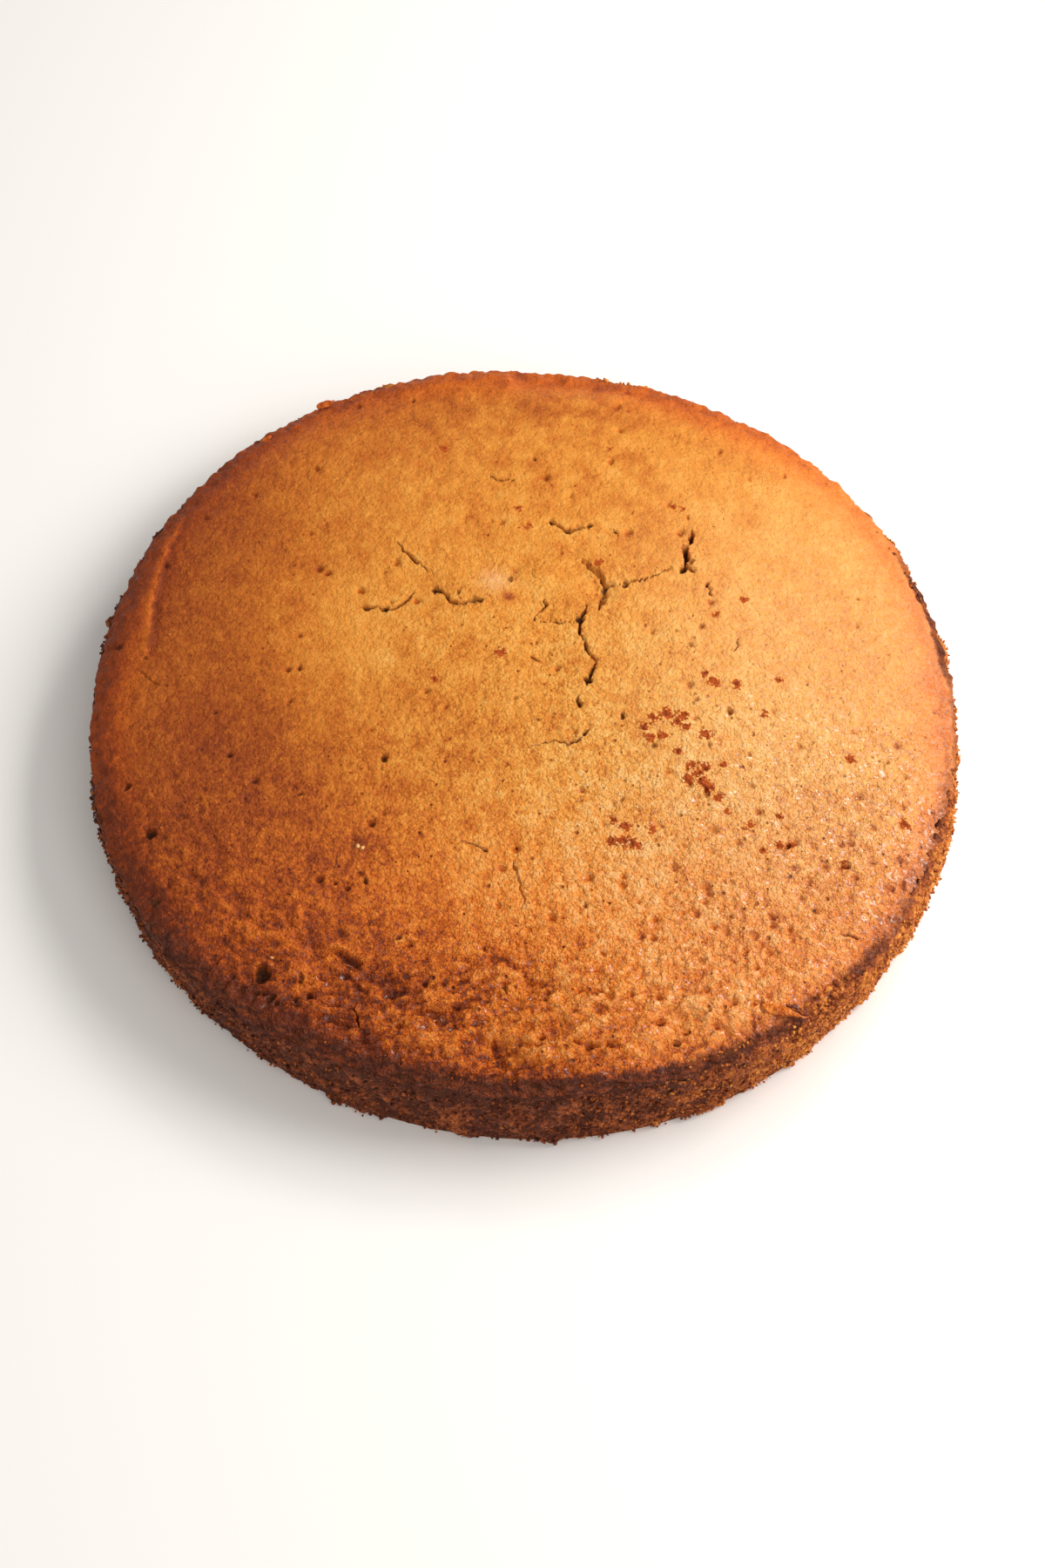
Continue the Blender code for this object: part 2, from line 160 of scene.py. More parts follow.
# Burst bubbles and pores: x, y, radius, stretch along y
PORES = [
    (-643, -817, 21, 1.35), (-619, -876, 10, 1), (-524, -882, 11, 1), (-559, -887, 9, 1),
    (-658, -863, 7, 1), (-690, -848, 7, 1), (-623, -880, 8, 1), (-607, -894, 8, 1), (-547, -837, 8, 1.2),
    (-944, -415, 14, 1.2), (-929, -609, 17, 1.3), (-1014, -269, 10, 1), (-359, -233, 11, 1.3),
    (-756, -203, 8, 1), (-570, -332, 8, 1), (-393, -582, 9, 1.2), (-471, -586, 7, 1), (-60, -307, 6, 1),
    (18, -525, 6, 1), (-309, -735, 8, 1), (454, 188, 9, 1), (247, -106, 10, 1), (522, -74, 9, 1.3),
    (436, -48, 7, 1), (315, -31, 5, 1), (425, 124, 7, 1), (559, -944, 11, 1), (375, -997, 9, 1),
    (455, -916, 7, 1), (952, -540, 9, 1.7), (326, -192, 8, 1), (457, -324, 9, 1.5), (659, -461, 10, 0.8),
    (804, -507, 11, 1), (924, -190, 8, 1), (258, 316, 8, 1.4), (139, 198, 14, 1), (158, 4, 12, 1),
    (-240, 292, 13, 0.7), (-372, 236, 12, 0.8), (105, 495, 9, 1), (165, 516, 10, 1), (434, 405, 10, 1),
    (203, 305, 10, 1.4),
]
EXTRA_PORES = 40
EXTRA_PORE_SIZES = (0.0004, 0.0008)
PORE_DEPTH = 1.3
# Pores this wide and wider are painted fully dark, as shade inside the hole
PORE_FULL_SHADE = 0.0012
PORE_SEED = 5

# Soft dimples over sunken bubbles, thickest at the front right
DIMPLES = 170
DIMPLE_SIZES = (0.0007, 0.0014)
DIMPLE_DEPTH = 1.00
DIMPLE_SEED = 12

# Flecks where sugar caught and browned: x, y, radius
FLECKS = [
    (389, 590, 13), (417, 589, 11), (3, 509, 14), (190, 388, 16), (482, 12, 22), (460, 35, 14),
    (543, 9, 18), (361, -95, 22), (399, -101, 20), (387, -120, 17), (407, -132, 15), (325, -110, 18),
    (302, -138, 20), (318, -169, 20), (349, -162, 18), (458, -153, 22), (386, -207, 14), (499, -240, 13),
    (423, -246, 22), (436, -270, 20), (456, -251, 17), (411, -287, 18), (449, -292, 24), (462, -309, 20),
    (490, -340, 17), (509, -376, 12), (566, -406, 14), (548, -422, 13), (315, -437, 15), (251, -432, 18),
    (249, -474, 22), (269, -475, 19), (282, -482, 17), (218, -475, 20), (219, -414, 14), (641, -380, 11),
    (641, -463, 16), (670, -458, 16), (597, -481, 12), (610, -80, 15), (654, 33, 12), (804, -507, 16),
    (964, -370, 20), (829, -192, 18), (-68, 86, 18), (-235, 4, 14), (496, 230, 13), (569, 286, 16),
    (-227, 800, 14), (-25, 572, 12), (221, 802, 9), (272, 1047, 18),
]
FLECK_SPREAD = 0.78

CROWN_CELLS = 224
DETAIL_CUTS = 2
DETAIL_REACH = 0.0010
CROWN_CROWDING = 0.20
BAND_ROWS = 12
# Arcs where the rolled rim went dark, in degrees: middle, half length, where over the rim the dark
# starts and is full, and how dark it is
# The arcs at the right front and the right are set less dark: painted light and sheen where the light falls
# on the band.
BAND_ARCS = [
    (265, 27, -0.12, 0.55, 0.96), (230, 15, 0.06, 0.66, 0.92), (305, 17, -0.18, 0.44, 0.72),
    (337, 17, -0.10, 0.40, 0.42), (15, 10, 0.40, 0.62, 0.80), (32, 7, 0.82, 1.00, 0.55),
    (356, 10, 0.40, 0.80, 0.50),
]
BAND_ARC_FADE = 9
BAND_THIN = 0.40
# Arcs where the skin tore short of the wall: how much of the roll is missing, middle, spread
BAND_SHORT = [(0.34, 304, 19), (0.46, 335, 17)]
BAND_BACK_ARC = (95, 62)
BAND_TORN_ARC = (-48.5, 2.6)
BAND_FLOOR_RISE = 0.0022
BAND_RIGHT_RISE = 0.0015
BAND_RIGHT_ARC = (-25, 45)
BAND_WAVER = (0.0009, 0.009)
BAND_TUCK = 0.0004
# Slots where the band split: height, half length, half height, direction in degrees
BAND_SLOTS = [
    (228, 28, 5, 254.5), (238, 14, 5, 259.9), (236, 5, 11, 264.6), (240, 10, 5, 268.0),
    (238, 26, 6, 271.8), (244, 12, 4, 275.0), (236, 16, 4, 282.5), (234, 20, 4, 241.0),
]
BAND_SLOT_DEPTH = 0.0011
# The band's relief: height, size, how flat it is drawn
BAND_ROUGH = [(0.0008, 0.0040, 0.35), (0.0007, 0.0018, 0.6)]
UNDERSIDE_INSET = 0.004
UNDERSIDE_DROP = 0.0010


def lobed(angle, lobes):
    """How far a ring of the cake is off round at each angle."""
    return sum(c * np.cos(n * angle) + s * np.sin(n * angle) for n, (c, s) in lobes.items())


def wall_radius(angle, height):
    """Radius of the wall, drawn straight from the foot to the rim."""
    share = np.minimum(height / WALL_HEIGHT, 1.0)
    foot = FOOT_RADIUS + lobed(angle, FOOT_LOBES)
    rim = RIM_RADIUS + lobed(angle, RIM_LOBES)
    return foot + share * (rim - foot)


def rim_radius(angle):
    """Radius of the crown's rim, where the skin has turned half down."""
    return wall_radius(angle, WALL_HEIGHT) - BAND_INSET


def crown_edge(angle):
    """Radius at which the crown ends and the rolled band starts."""
    return wall_radius(angle, WALL_HEIGHT) - SHOULDER_INSET


def bell(distance, spread):
    """A smooth bump: 1 at no distance and nearly 0 at two spreads."""
    return np.exp(-(distance / spread) ** 2)


def step(value, low, high):
    """0 below low, 1 above high and a smooth rise between them."""
    share = np.clip((value - low) / (high - low), 0.0, 1.0)
    return share * share * (3 - 2 * share)


def turn_from(angle, middle):
    """The turn from a direction in degrees to each angle, at most half round either way."""
    return (angle - math.radians(middle) + math.pi) % math.tau - math.pi


def arc(angle, middle, spread):
    """A smooth bump around one direction of the rim."""
    return bell(turn_from(angle, middle), math.radians(spread))


def mound(x, y, middle_x, middle_y, radius, stretch=1.0):
    """A smooth bump around one place, which may be stretched along x."""
    return bell(np.hypot((x - middle_x) / stretch, y - middle_y), radius)


def polar(x, y):
    """The direction of each place, and its share of the way to the rim."""
    angle = np.arctan2(y, x)
    return angle, np.hypot(x, y) / rim_radius(angle)


def grain(x, y, size, layer):
    """Smooth noise of a given size at each place."""
    return np.array([noise.noise(Vector((a / size, b / size, layer))) for a, b in zip(x, y)])


def rough(x, y, share, height, size, layer):
    """Relief by noise, with a share of its height at each place."""
    return share * height * grain(x, y, size, layer)


def wavered(x, y, height, size, *layers):
    """Places shifted by noise, so that what is drawn on them wavers."""
    return [place + height * grain(x, y, size, layer) for place, layer in zip((x, y), layers)]


def metres(table, lengths=3):
    """The rows of a table, with the lengths that each starts with turned into metres."""
    return [(*(value / 10000 for value in row[:lengths]), *row[lengths:]) for row in table]


def lines(table):
    """The width, the depth and the points of each line in a table, in metres."""
    rows = [[value / 10000 for value in row] for row in table]
    return [(row[0], row[1], list(zip(row[2::2], row[3::2]))) for row in rows]


def line_field(x, y, points):
    """Distance from each place to a crooked line, and the share of the line run at its nearest point."""
    nearest = np.full(len(x), np.inf)
    along = np.zeros(len(x))
    lengths = [math.dist(a, b) for a, b in zip(points, points[1:])]
    start = 0.0
    for (ax, ay), (bx, by), length in zip(points, points[1:], lengths):
        share = np.clip(((x - ax) * (bx - ax) + (y - ay) * (by - ay)) / length ** 2, 0, 1)
        gap = np.hypot(x - ax - share * (bx - ax), y - ay - share * (by - ay))
        closer = gap < nearest
        nearest[closer] = gap[closer]
        along[closer] = (start + share * length)[closer]
        start += length
    return nearest, along / start


def from_ends(along):
    """How far each place is from the nearer end of its line, as a share of the line."""
    return np.minimum(along, 1 - along)


def all_pores():
    """The pores that show, and a seeded scatter of smaller ones between them."""
    draw = random.Random(PORE_SEED)
    pores = metres(PORES)
    for _ in range(EXTRA_PORES):
        reach = 0.97 * RIM_RADIUS * math.sqrt(draw.random())
        angle = draw.uniform(0, math.tau)
        size = draw.uniform(*EXTRA_PORE_SIZES)
        pores.append((reach * math.cos(angle), reach * math.sin(angle), size, draw.uniform(0.8, 1.5)))
    return pores


def all_dimples():
    """A seeded scatter of soft dimples where the crust is pitted."""
    draw = random.Random(DIMPLE_SEED)
    dimples = []
    while len(dimples) < DIMPLES:
        reach = 0.96 * RIM_RADIUS * math.sqrt(draw.random())
        angle = draw.uniform(0, math.tau)
        spot = Vector((reach * math.cos(angle), reach * math.sin(angle)))
        size = draw.uniform(*DIMPLE_SIZES)
        if draw.random() < pitted_share(np.array([spot.x]), np.array([spot.y]))[0]:
            dimples.append((spot.x, spot.y, size, draw.uniform(0.7, 1.2)))
    return dimples


def pitted_share(x, y):
    """How pitted the crust is: most at the front right, least at the back left."""
    return 0.08 + 0.92 * mound(x, y, 0.052, -0.068, 0.040, 1.25)


def spot_gap(x, y, spot_x, spot_y, radius, stretch=1.0):
    """Distance to the middle of a spot, whose radius may be stretched along y."""
    return np.hypot(x - spot_x, (y - spot_y) / stretch)


def dimple_share(x, y):
    """How deep each place lies in a soft dimple, from 0 to 1."""
    share = np.zeros(len(x))
    for dimple in all_dimples():
        gap = spot_gap(x, y, *dimple) / dimple[2]
        share = np.maximum(share, dimple[2] / DIMPLE_SIZES[1] * np.clip(1 - gap ** 2, 0, 1))
    return share


def crack_depth(x, y):
    """How deep the crust is open at each place, and how much painted shade darkens the opening, from 0 to
    1.
    """
    warp_x, warp_y = wavered(x, y, *CRACK_WAVER)
    node = 0.45 + 0.85 * step(grain(x, y, *CRACK_NODES), -0.10, 0.35)
    depth = np.zeros(len(x))
    # dark: painted shade inside the openings of cracks and pores.
    dark = np.zeros(len(x))
    for table in (CRACKS, SOFT_CRACKS):
        for width, deep, points in lines(table):
            gap, along = line_field(warp_x, warp_y, points)
            taper = np.clip(6 * from_ends(along) + 0.35, 0, 1)
            if table is SOFT_CRACKS:
                opened = np.clip(1 - gap / (width / 2 * taper), 0, 1)
                depth = np.maximum(depth, deep * opened ** 2 * (3 - 2 * opened))
                dark = np.maximum(dark, SOFT_CRACK_SHADE * opened)
            else:
                opened = np.clip(1 - gap / (width / 2 * taper * node), 0, 1)
                depth = np.maximum(depth, deep * taper * opened ** 0.6)
                dark = np.maximum(dark, step(opened, 0.15, 0.75))
    for pore in all_pores():
        radius = pore[2]
        opened = np.clip(1 - (spot_gap(warp_x, warp_y, *pore) / radius) ** 2, 0, 1)
        depth = np.maximum(depth, radius * PORE_DEPTH * np.sqrt(opened))
        pore_shade = min(1.0, radius / PORE_FULL_SHADE) * (1 - 0.75 * float(step(pore[0], 0.02, 0.06)))
        dark = np.maximum(dark, step(opened, 0.0, 0.6) * pore_shade)
    return depth, dark


def furrow_reach(x, y):
    """Where the crust is furrowed: near the rim at the front, and fading to the right."""
    angle, rho = polar(x, y)
    return step(rho, 0.62, 0.84) * (1 - 0.6 * step(rho, 0.95, 1.0)) * arc(angle, *FURROW_ARC)


def furrow(x, y):
    """Rounded ridges from 1 down to sharp valleys at 0, slanting a little to the rim."""
    angle, rho = polar(x, y)
    run = turn_from(angle, FURROW_ARC[0]) * RIM_RADIUS
    warp, size = FURROW_WARP
    drift = warp * grain(x, y, size, 4.2)
    run += warp * grain(x, y, size, 6.6)
    across = (rho * RIM_RADIUS + FURROW_TWIST * run + drift) * FURROW_LENGTH / FURROW_WIDTH
    ridges = np.abs(grain(run, across, FURROW_LENGTH, FURROW_LAYER))
    creases = np.abs(grain(run, across, FURROW_LENGTH / FURROW_CREASE_FINER, FURROW_LAYER + 2))
    return np.clip(1.8 * (ridges + FURROW_CREASES * creases), 0, 1)


def pucker_heights(x, y):
    """How deep each place lies in a crease, and how high it stands on a small ridge."""
    warp_x, warp_y = wavered(x, y, *PUCKER_WAVER)
    creases, ridges = np.zeros(len(x)), np.zeros(len(x))
    for width, depth, points in lines(PUCKERS):
        gap, along = line_field(warp_x, warp_y, points)
        taper = np.clip(3 * from_ends(along) + 0.35, 0, 1)
        share = taper * step(-gap / width, -0.80, 0.0)
        creases = np.maximum(creases, depth * share)
        ridges = np.maximum(ridges, -depth * share)
    return creases, ridges


def fold_side(x, y, warp=0.0):
    """Whether each place lies outside the fold's line."""
    points = metres(FOLD, 2)[::-1]
    return np.hypot(x, y) > np.interp(y, [p[1] for p in points], [math.hypot(*p) for p in points]) + warp


def fold_height(x, y):
    """The lap at the left: raised outside its line and pressed down a little inside it."""
    warp = 0.0011 * grain(x, y, 0.0035, 5.5)
    gap, along = line_field(x + warp, y, metres(FOLD, 2))
    side = np.where(fold_side(x, y, warp), gap, -gap)
    rise = step(side, -FOLD_EDGE, FOLD_EDGE)
    raised = rise * np.exp(-np.maximum(side, 0) / FOLD_OUTER) - 0.4 * (1 - rise) * np.exp(-gap / FOLD_INNER)
    return FOLD_STEP * raised * step(from_ends(along), 0.0, 0.22)


def crown_height(x, y):
    """Height of the crown over each place, before its cracks and pores."""
    angle, rho = polar(x, y)
    height = WALL_HEIGHT + BAND_HEIGHT + CROWN_RISE * (1 - rho ** CROWN_POWER)
    height += EDGE_DROP * (1 - step(rho, *EDGE_REACH) * 2)
    height += rough(x, y, 1 - step(rho, SWELL_FADE, 1.0), *SWELL)
    height += rough(x, y, mound(x, y, *LUMPS_SPOT), *LUMPS)
    reach = step(rho, *WRINKLE_REACH) * arc(angle, *WRINKLE_ARC)
    run = turn_from(angle, WRINKLE_ARC[0]) * RIM_RADIUS
    height += rough(run, rho * RIM_RADIUS * WRINKLES[1] / WRINKLE_WIDTH, reach, *WRINKLES)
    height += FURROW_HEIGHT * (furrow(x, y) - 0.3) * furrow_reach(x, y)
    creases, ridges = pucker_heights(x, y)
    height += ridges - creases
    hump = step(x, *HUMP_START_X) * (1 - step(x, *HUMP_END_X))
    sag = bell(x - SAG_MIDDLE_X, SAG_SPREAD)
    height += step(y, *BACK_RIM_Y) * (HUMP_HEIGHT * hump - SAG_DEPTH * sag)
    height += LIP_HEIGHT * arc(angle, *LIP_ARC) * bell(rho - LIP_RHO, LIP_WIDTH)
    height += fold_height(x, y)
    for *spot, depth in metres(HOLLOWS, 4):
        height -= depth * mound(x, y, *spot)
    return height + rough(x, y, 0.4 + reach + 0.8 * pitted_share(x, y), *PEBBLES)


def places(verts):
    """The coordinates of some vertices as three arrays."""
    return np.array([vert.co[:] for vert in verts]).T


def spread_on_disc(shape):
    """Move a square grid's vertices onto the crown's disc, ring by ring and closer at the front."""
    for vert in shape.verts:
        across, along = vert.co.x, vert.co.y
        along -= CROWN_CROWDING * (1 - along ** 2)
        if abs(across) > abs(along):
            rho, angle = across, math.pi / 4 * along / across
        elif along != 0:
            rho, angle = along, math.pi / 2 - math.pi / 4 * across / along
        else:
            rho, angle = 0.0, 0.0
        unit = Vector((rho * math.cos(angle), rho * math.sin(angle)))
        vert.co = (*(unit * float(crown_edge(math.atan2(unit.y, unit.x)))), 0.0)


def refine_detail(shape):
    """Cut the faces smaller where a crack or a pore runs, so that its edges are sharp."""
    x, y, _ = places(shape.verts)
    near = np.zeros(len(x), dtype=bool)
    for table, share in ((CRACKS, 1), (SOFT_CRACKS, 1), (PUCKERS, 0.5)):
        for width, depth, points in lines(table):
            if depth > 0:
                near |= line_field(x, y, points)[0] < width / 2 + DETAIL_REACH * share
    for spots, share in ((all_pores(), 1), (metres(FLECKS), 0), (all_dimples(), 0.25)):
        for spot in spots:
            near |= spot_gap(x, y, *spot) < spot[2] + DETAIL_REACH * share
    shape.verts.index_update()
    edges = [e for e in shape.edges if near[e.verts[0].index] and near[e.verts[1].index]]
    bmesh.ops.subdivide_edges(shape, edges=edges, cuts=DETAIL_CUTS, use_grid_fill=True)


def next_row(shape, edges):
    """Draw a new row of faces out of some edges, and give its own open edges."""
    drawn = bmesh.ops.extrude_edge_only(shape, edges=edges)["geom"]
    return [item for item in drawn if isinstance(item, bmesh.types.BMEdge) and item.is_boundary]


def ring(edges):
    """The vertices of some edges, each with its direction from the middle."""
    return [(vert, math.atan2(vert.co.y, vert.co.x)) for vert in {v for e in edges for v in e.verts}]


def at(radius, angle, height):
    """The place at a radius, a direction and a height."""
    return radius * math.cos(angle), radius * math.sin(angle), height


def band_floor(angle):
    """Height at which the band ends and the bare crumb starts."""
    height, size = BAND_WAVER
    around = Vector((math.cos(angle), math.sin(angle), 0.0)) * RIM_RADIUS / size
    rise = BAND_FLOOR_RISE + BAND_RIGHT_RISE * float(arc(angle, *BAND_RIGHT_ARC))
    return WALL_HEIGHT + rise + height * noise.noise(around)


def band_roughness(angle, level):
    """Relief on the band, drawn out along the rim."""
    around = Vector((math.cos(angle), math.sin(angle), 0.0)) * RIM_RADIUS
    return sum(height * noise.noise((around + Vector((0.0, 0.0, level / flat))) / size)
               for height, size, flat in BAND_ROUGH)


def band_end(angle):
    """How far over the rim the skin reaches: 1 down to the face of the wall, less where it tore."""
    return 1.0 - max(most * float(arc(angle, middle, spread)) for most, middle, spread in BAND_SHORT)


def shoulder_height(angle, over, top):
    """Height of the rolled rim at a share of the way over it, below the given edge of the crown."""
    floor = band_floor(angle)
    return floor + (top - floor) * np.sqrt(1 - over * over) * (1 - SHOULDER_SLOPE * over)


def slot_share(angle, height):
    """How far each place on the band lies in one of the slots where it split."""
    share = 0.0
    for level, half_run, half_rise, middle in metres(BAND_SLOTS):
        run = turn_from(angle, middle) * RIM_RADIUS
        share = np.maximum(share, bell(np.hypot(run / half_run, (height - level) / half_rise), 1.0))
    return share


def roll_band(shape, edge, rim_heights):
    """Draw the rim down and out in a quarter round, then back under itself and shut it."""
    for row in range(1, BAND_ROWS + 3):
        edge = next_row(shape, edge)
        for vert, angle in ring(edge):
            outer = float(wall_radius(angle, WALL_HEIGHT))
            top, end = rim_heights(angle), band_end(angle)
            if row <= BAND_ROWS:
                over = math.sin(math.asin(end) * row / BAND_ROWS)
                radius = outer - SHOULDER_INSET * (1 - over) - BAND_TUCK * (row / BAND_ROWS) ** 3
                height = float(shoulder_height(angle, over, top))
                relief = band_roughness(angle, height)
                radius += relief * min(1.0, 2.0 * row / BAND_ROWS)
                height += 0.5 * relief * math.sqrt(1 - over * over)
                radius -= BAND_SLOT_DEPTH * float(slot_share(angle, height)) * over
            else:
                radius = outer - SHOULDER_INSET * (1 - end) - UNDERSIDE_INSET * (row - BAND_ROWS) / 2
                height = float(shoulder_height(angle, end, top)) - UNDERSIDE_DROP * (row - BAND_ROWS - 1)
            vert.co = at(radius, angle, height)
    bmesh.ops.contextual_create(shape, geom=edge)


def store(mesh, **values):
    """Keep values for the vertices under their names, for the material to read."""
    for name, numbers in values.items():
        numbers = np.broadcast_to(np.asarray(numbers, dtype=np.float32), len(mesh.vertices))
        mesh.attributes.new(name, "FLOAT", "POINT").data.foreach_set("value", numbers.copy())


def add_piece(name, mesh, material):
    """Put a mesh into the scene as a piece of the cake."""
    mesh.materials.append(material)
    piece = bpy.data.objects.new(name, mesh)
    bpy.context.scene.collection.objects.link(piece)
    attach(piece, "root")
    return piece


def as_piece(name, shape, material):
    """Turn a bmesh into a smooth shaded piece of the cake."""
    mesh = bpy.data.meshes.new(name)
    bmesh.ops.triangulate(shape, faces=shape.faces)
    bmesh.ops.recalc_face_normals(shape, faces=shape.faces)
    shape.to_mesh(mesh)
    shape.free()
    mesh.shade_smooth()
    return add_piece(name, mesh, material)


def mesh_places(mesh):
    """The coordinates of a mesh's vertices as three arrays."""
    flat = np.empty(len(mesh.vertices) * 3, dtype=np.float32)
    mesh.vertices.foreach_get("co", flat)
    return flat.reshape(-1, 3).T.astype(float)


def band_place(x, y):
    """How far each place lies over the rim: 0 where the crown ends, 1 at the face of the band."""
    angle = np.arctan2(y, x)
    return (np.hypot(x, y) - crown_edge(angle)) / SHOULDER_INSET


def arc_share(angle, middle, half):
    """1 inside an arc of the rim and 0 outside it, with a fade at its ends."""
    fade = math.radians(BAND_ARC_FADE)
    return step(math.radians(half) - np.abs(turn_from(angle, middle)), -fade, fade / 2)


# Patches where the crust is painted darker, or lighter with a minus sign, partly browning and partly
# painted light and shade: x, y, radius, how much
BAKE_AND_SHADE_PATCHES = [
    (240, -60, 350, -0.07), (-340, 420, 260, -0.08), (-550, -450, 400, 0.05), (0, -700, 220, -0.05),
    (350, -480, 240, -0.07), (1080, -120, 260, 0.17), (780, -550, 300, 0.03), (-500, 100, 260, -0.11),
    (700, 400, 400, 0.03), (960, -620, 220, 0.1), (-1120, 20, 200, -0.08), (-180, -180, 240, 0.05),
    (100, -640, 300, -0.09), (-100, -880, 180, 0.09), (-380, -880, 180, 0.14), (-460, 180, 200, -0.09),
    (100, -200, 200, 0.05), (-1120, -200, 140, -0.05), (850, 300, 300, 0.04), (380, -800, 320, -0.08),
    (400, -200, 260, -0.06), (-553, -868, 16, -0.34), (-50, 268, 17, 0.45), (15, 1000, 300, 0.03),
    (-600, 700, 400, -0.06),
]

BAKE_BASE = 0.455
# How much darker the crust is towards the left: partly browning and partly painted shade where less light
# falls
LEFT_BAKE_AND_SHADE = 0.38
BAKE_MOST = 1.15
RIM_BROWN_ARC = (278, 62)
CREASE_SHADE = 330.0
RIDGE_SHADE = 110.0


def bake_depth(x, y):
    """How dark the crust's colour is, from pale 0 to nearly burnt at 1: its browning, with painted shade
    and painted light along its relief, and painted shade towards the left.
    """
    angle, rho = polar(x, y)
    left = step(-x, -0.015, 0.100)
    # Darker towards the left: partly browning and partly painted shade where less light falls.
    brown = BAKE_BASE + LEFT_BAKE_AND_SHADE * left - 0.12 * step(x, 0.03, 0.09) * step(y, -0.07, -0.01)
    brown += 0.19 * step(-y, 0.045, 0.105) * step(-x, -0.075, 0.01) * (1 - 0.5 * left)
    brown += 0.13 * step(y, 0.060, 0.105) * (1 - left)
    brown += 0.07 * grain(x, y, 0.028, 4.4)
    clouds = 0.15 * grain(x, y, 0.009, 2.9) + 0.14 * grain(x, y, 0.0042, 7.9)
    brown += (1 - 0.75 * left) * (1 - 0.4 * step(x, 0.02, 0.06)) * clouds
    # Painted light and shade: the pebbles' raised crests are painted paler and their hollows darker, from
    # the same noise as their relief.
    brown -= 0.14 * grain(x, y, *PEBBLES[1:]) * graininess(x, y)
    # Patches of browning mixed with painted light and shade.
    for *spot, amount in metres(BAKE_AND_SHADE_PATCHES):
        brown += amount * mound(x, y, *spot)
    rim_brown = 0.12 + 0.24 * arc(angle, *RIM_BROWN_ARC)
    brown += rim_brown * step(rho, 0.935, 0.995) + 0.26 * dimple_share(x, y)
    # Painted shade and light: the furrows' valleys are painted darker and their ridges paler.
    brown += 0.30 * furrow_reach(x, y) * (0.40 - np.minimum(furrow(x, y), 0.8))
    creases, ridges = pucker_heights(x, y)
    brown += CREASE_SHADE * creases - RIDGE_SHADE * ridges
    gap, run = line_field(x, y, metres(FOLD, 2))
    inside = np.where(fold_side(x, y), -0.8, 1.0)
    brown += FOLD_SHADE * inside * bell(gap - 0.0009, 0.0014) * step(from_ends(run), 0.0, 0.2)
    return np.clip(brown, 0, BAKE_MOST)


def band_share(x, y, z):
    """How far each place belongs to the dark band at the rim."""
    angle = np.arctan2(y, x)
    over = band_place(x, y) + 0.16 * grain(angle * RIM_RADIUS, z * 1.5, 0.0050, 8.8)
    over += 0.12 * grain(x, y, 0.0016, 2.7)
    share = BAND_THIN * (1 - 0.75 * arc(angle, *BAND_BACK_ARC)) * step(over, 0.84, 1.20)
    for middle, half, start, full, dark in BAND_ARCS:
        inside = arc_share(angle, middle, half)
        late = 0.35 * (1 - inside)
        share = np.maximum(share, dark * inside * step(over, start + late, full + late))
    return share * (1 - 0.85 * arc(angle, *BAND_TORN_ARC))


def fleck_share(x, y):
    """How strongly each place is scorched by a fleck of sugar."""
    share = np.zeros(len(x))
    for fleck_x, fleck_y, radius in metres(FLECKS):
        share = np.maximum(share, mound(x, y, fleck_x, fleck_y, FLECK_SPREAD * radius))
    return share


def graininess(x, y):
    """How rough the grain of the crust is: most towards the front and the right."""
    middle = 0.44 + 0.42 * mound(x, y, 0.010, -0.005, 0.050)
    right = 0.75 * mound(x, y, 0.075, -0.045, 0.052, 1.2)
    front = 0.50 * mound(x, y, 0, -0.097, 0.033, 1.6)
    return middle + right + 0.55 * step(-y, 0.0, 0.085) + front


RIPPLE_ARC = (256, 48)


def crust_values(x, y):
    """What the crust's material reads at each place, whatever piece lies there.

    fleck: how scorched by sugar. grainy: how rough. sheen_and_pale_spot: painted sheen, a pale pinkish tint
    at the right that stands in for a reflection of the light, and the pale blister beside the middle.
    drawn: how far drawn into ripples
    along the rim. ruddy: how reddish for its browning, at the front and the rim.
    """
    angle, rho = polar(x, y)
    # Painted sheen: the right of the crown is tinted pale and pinkish as a painted reflection of the light.
    # The spot added below is the pale blister beside the middle.
    sheen_and_pale_spot = 0.16 * step(x, 0.005, 0.075) * step(-y, -0.100, -0.005) * (1 - 0.5 * step(-y, 0.030, 0.090))
    drawn = (0.06 + 0.94 * step(rho, 0.45, 0.85)) * (0.06 + 0.94 * arc(angle, *RIPPLE_ARC))
    return {"fleck": fleck_share(x, y), "grainy": graininess(x, y),
            "sheen_and_pale_spot": sheen_and_pale_spot + 0.24 * mound(x, y, -0.0084, 0.0322, 0.0036),
            "drawn": drawn * (1 - 0.35 * step(rho, 0.98, 1.02)),
            "ruddy": np.maximum(step(-y, 0.015, 0.080), step(rho, 0.86, 0.98))}


def wire(tree, kind, values=None, links=None, **settings):
    """Add a shader node, set its options and sockets, and link what feeds it."""
    made = tree.nodes.new("ShaderNode" + kind)
    for name, value in settings.items():
        setattr(made, name, value)
    for socket, value in (values or {}).items():
        made.inputs[socket].default_value = value
    for socket, source in (links or {}).items():
        tree.links.new(source, made.inputs[socket])
    return made


def join(tree, first, second, kind="ADD"):
    """Add, multiply or otherwise join two values; either may be a plain number."""
    made = wire(tree, "Math", operation=kind)
    for socket, source in zip(made.inputs, (first, second)):
        if isinstance(source, (int, float)):
            socket.default_value = source
        else:
            tree.links.new(source, socket)
    return made.outputs["Value"]


def times(tree, first, *others):
    """A value times one or more others."""
    for other in others:
        first = join(tree, first, other, "MULTIPLY")
    return first


def weighted(tree, first, *pairs):
    """A value plus others, each times its own weight."""
    for source, weight in pairs:
        first = join(tree, first, times(tree, source, weight))
    return first


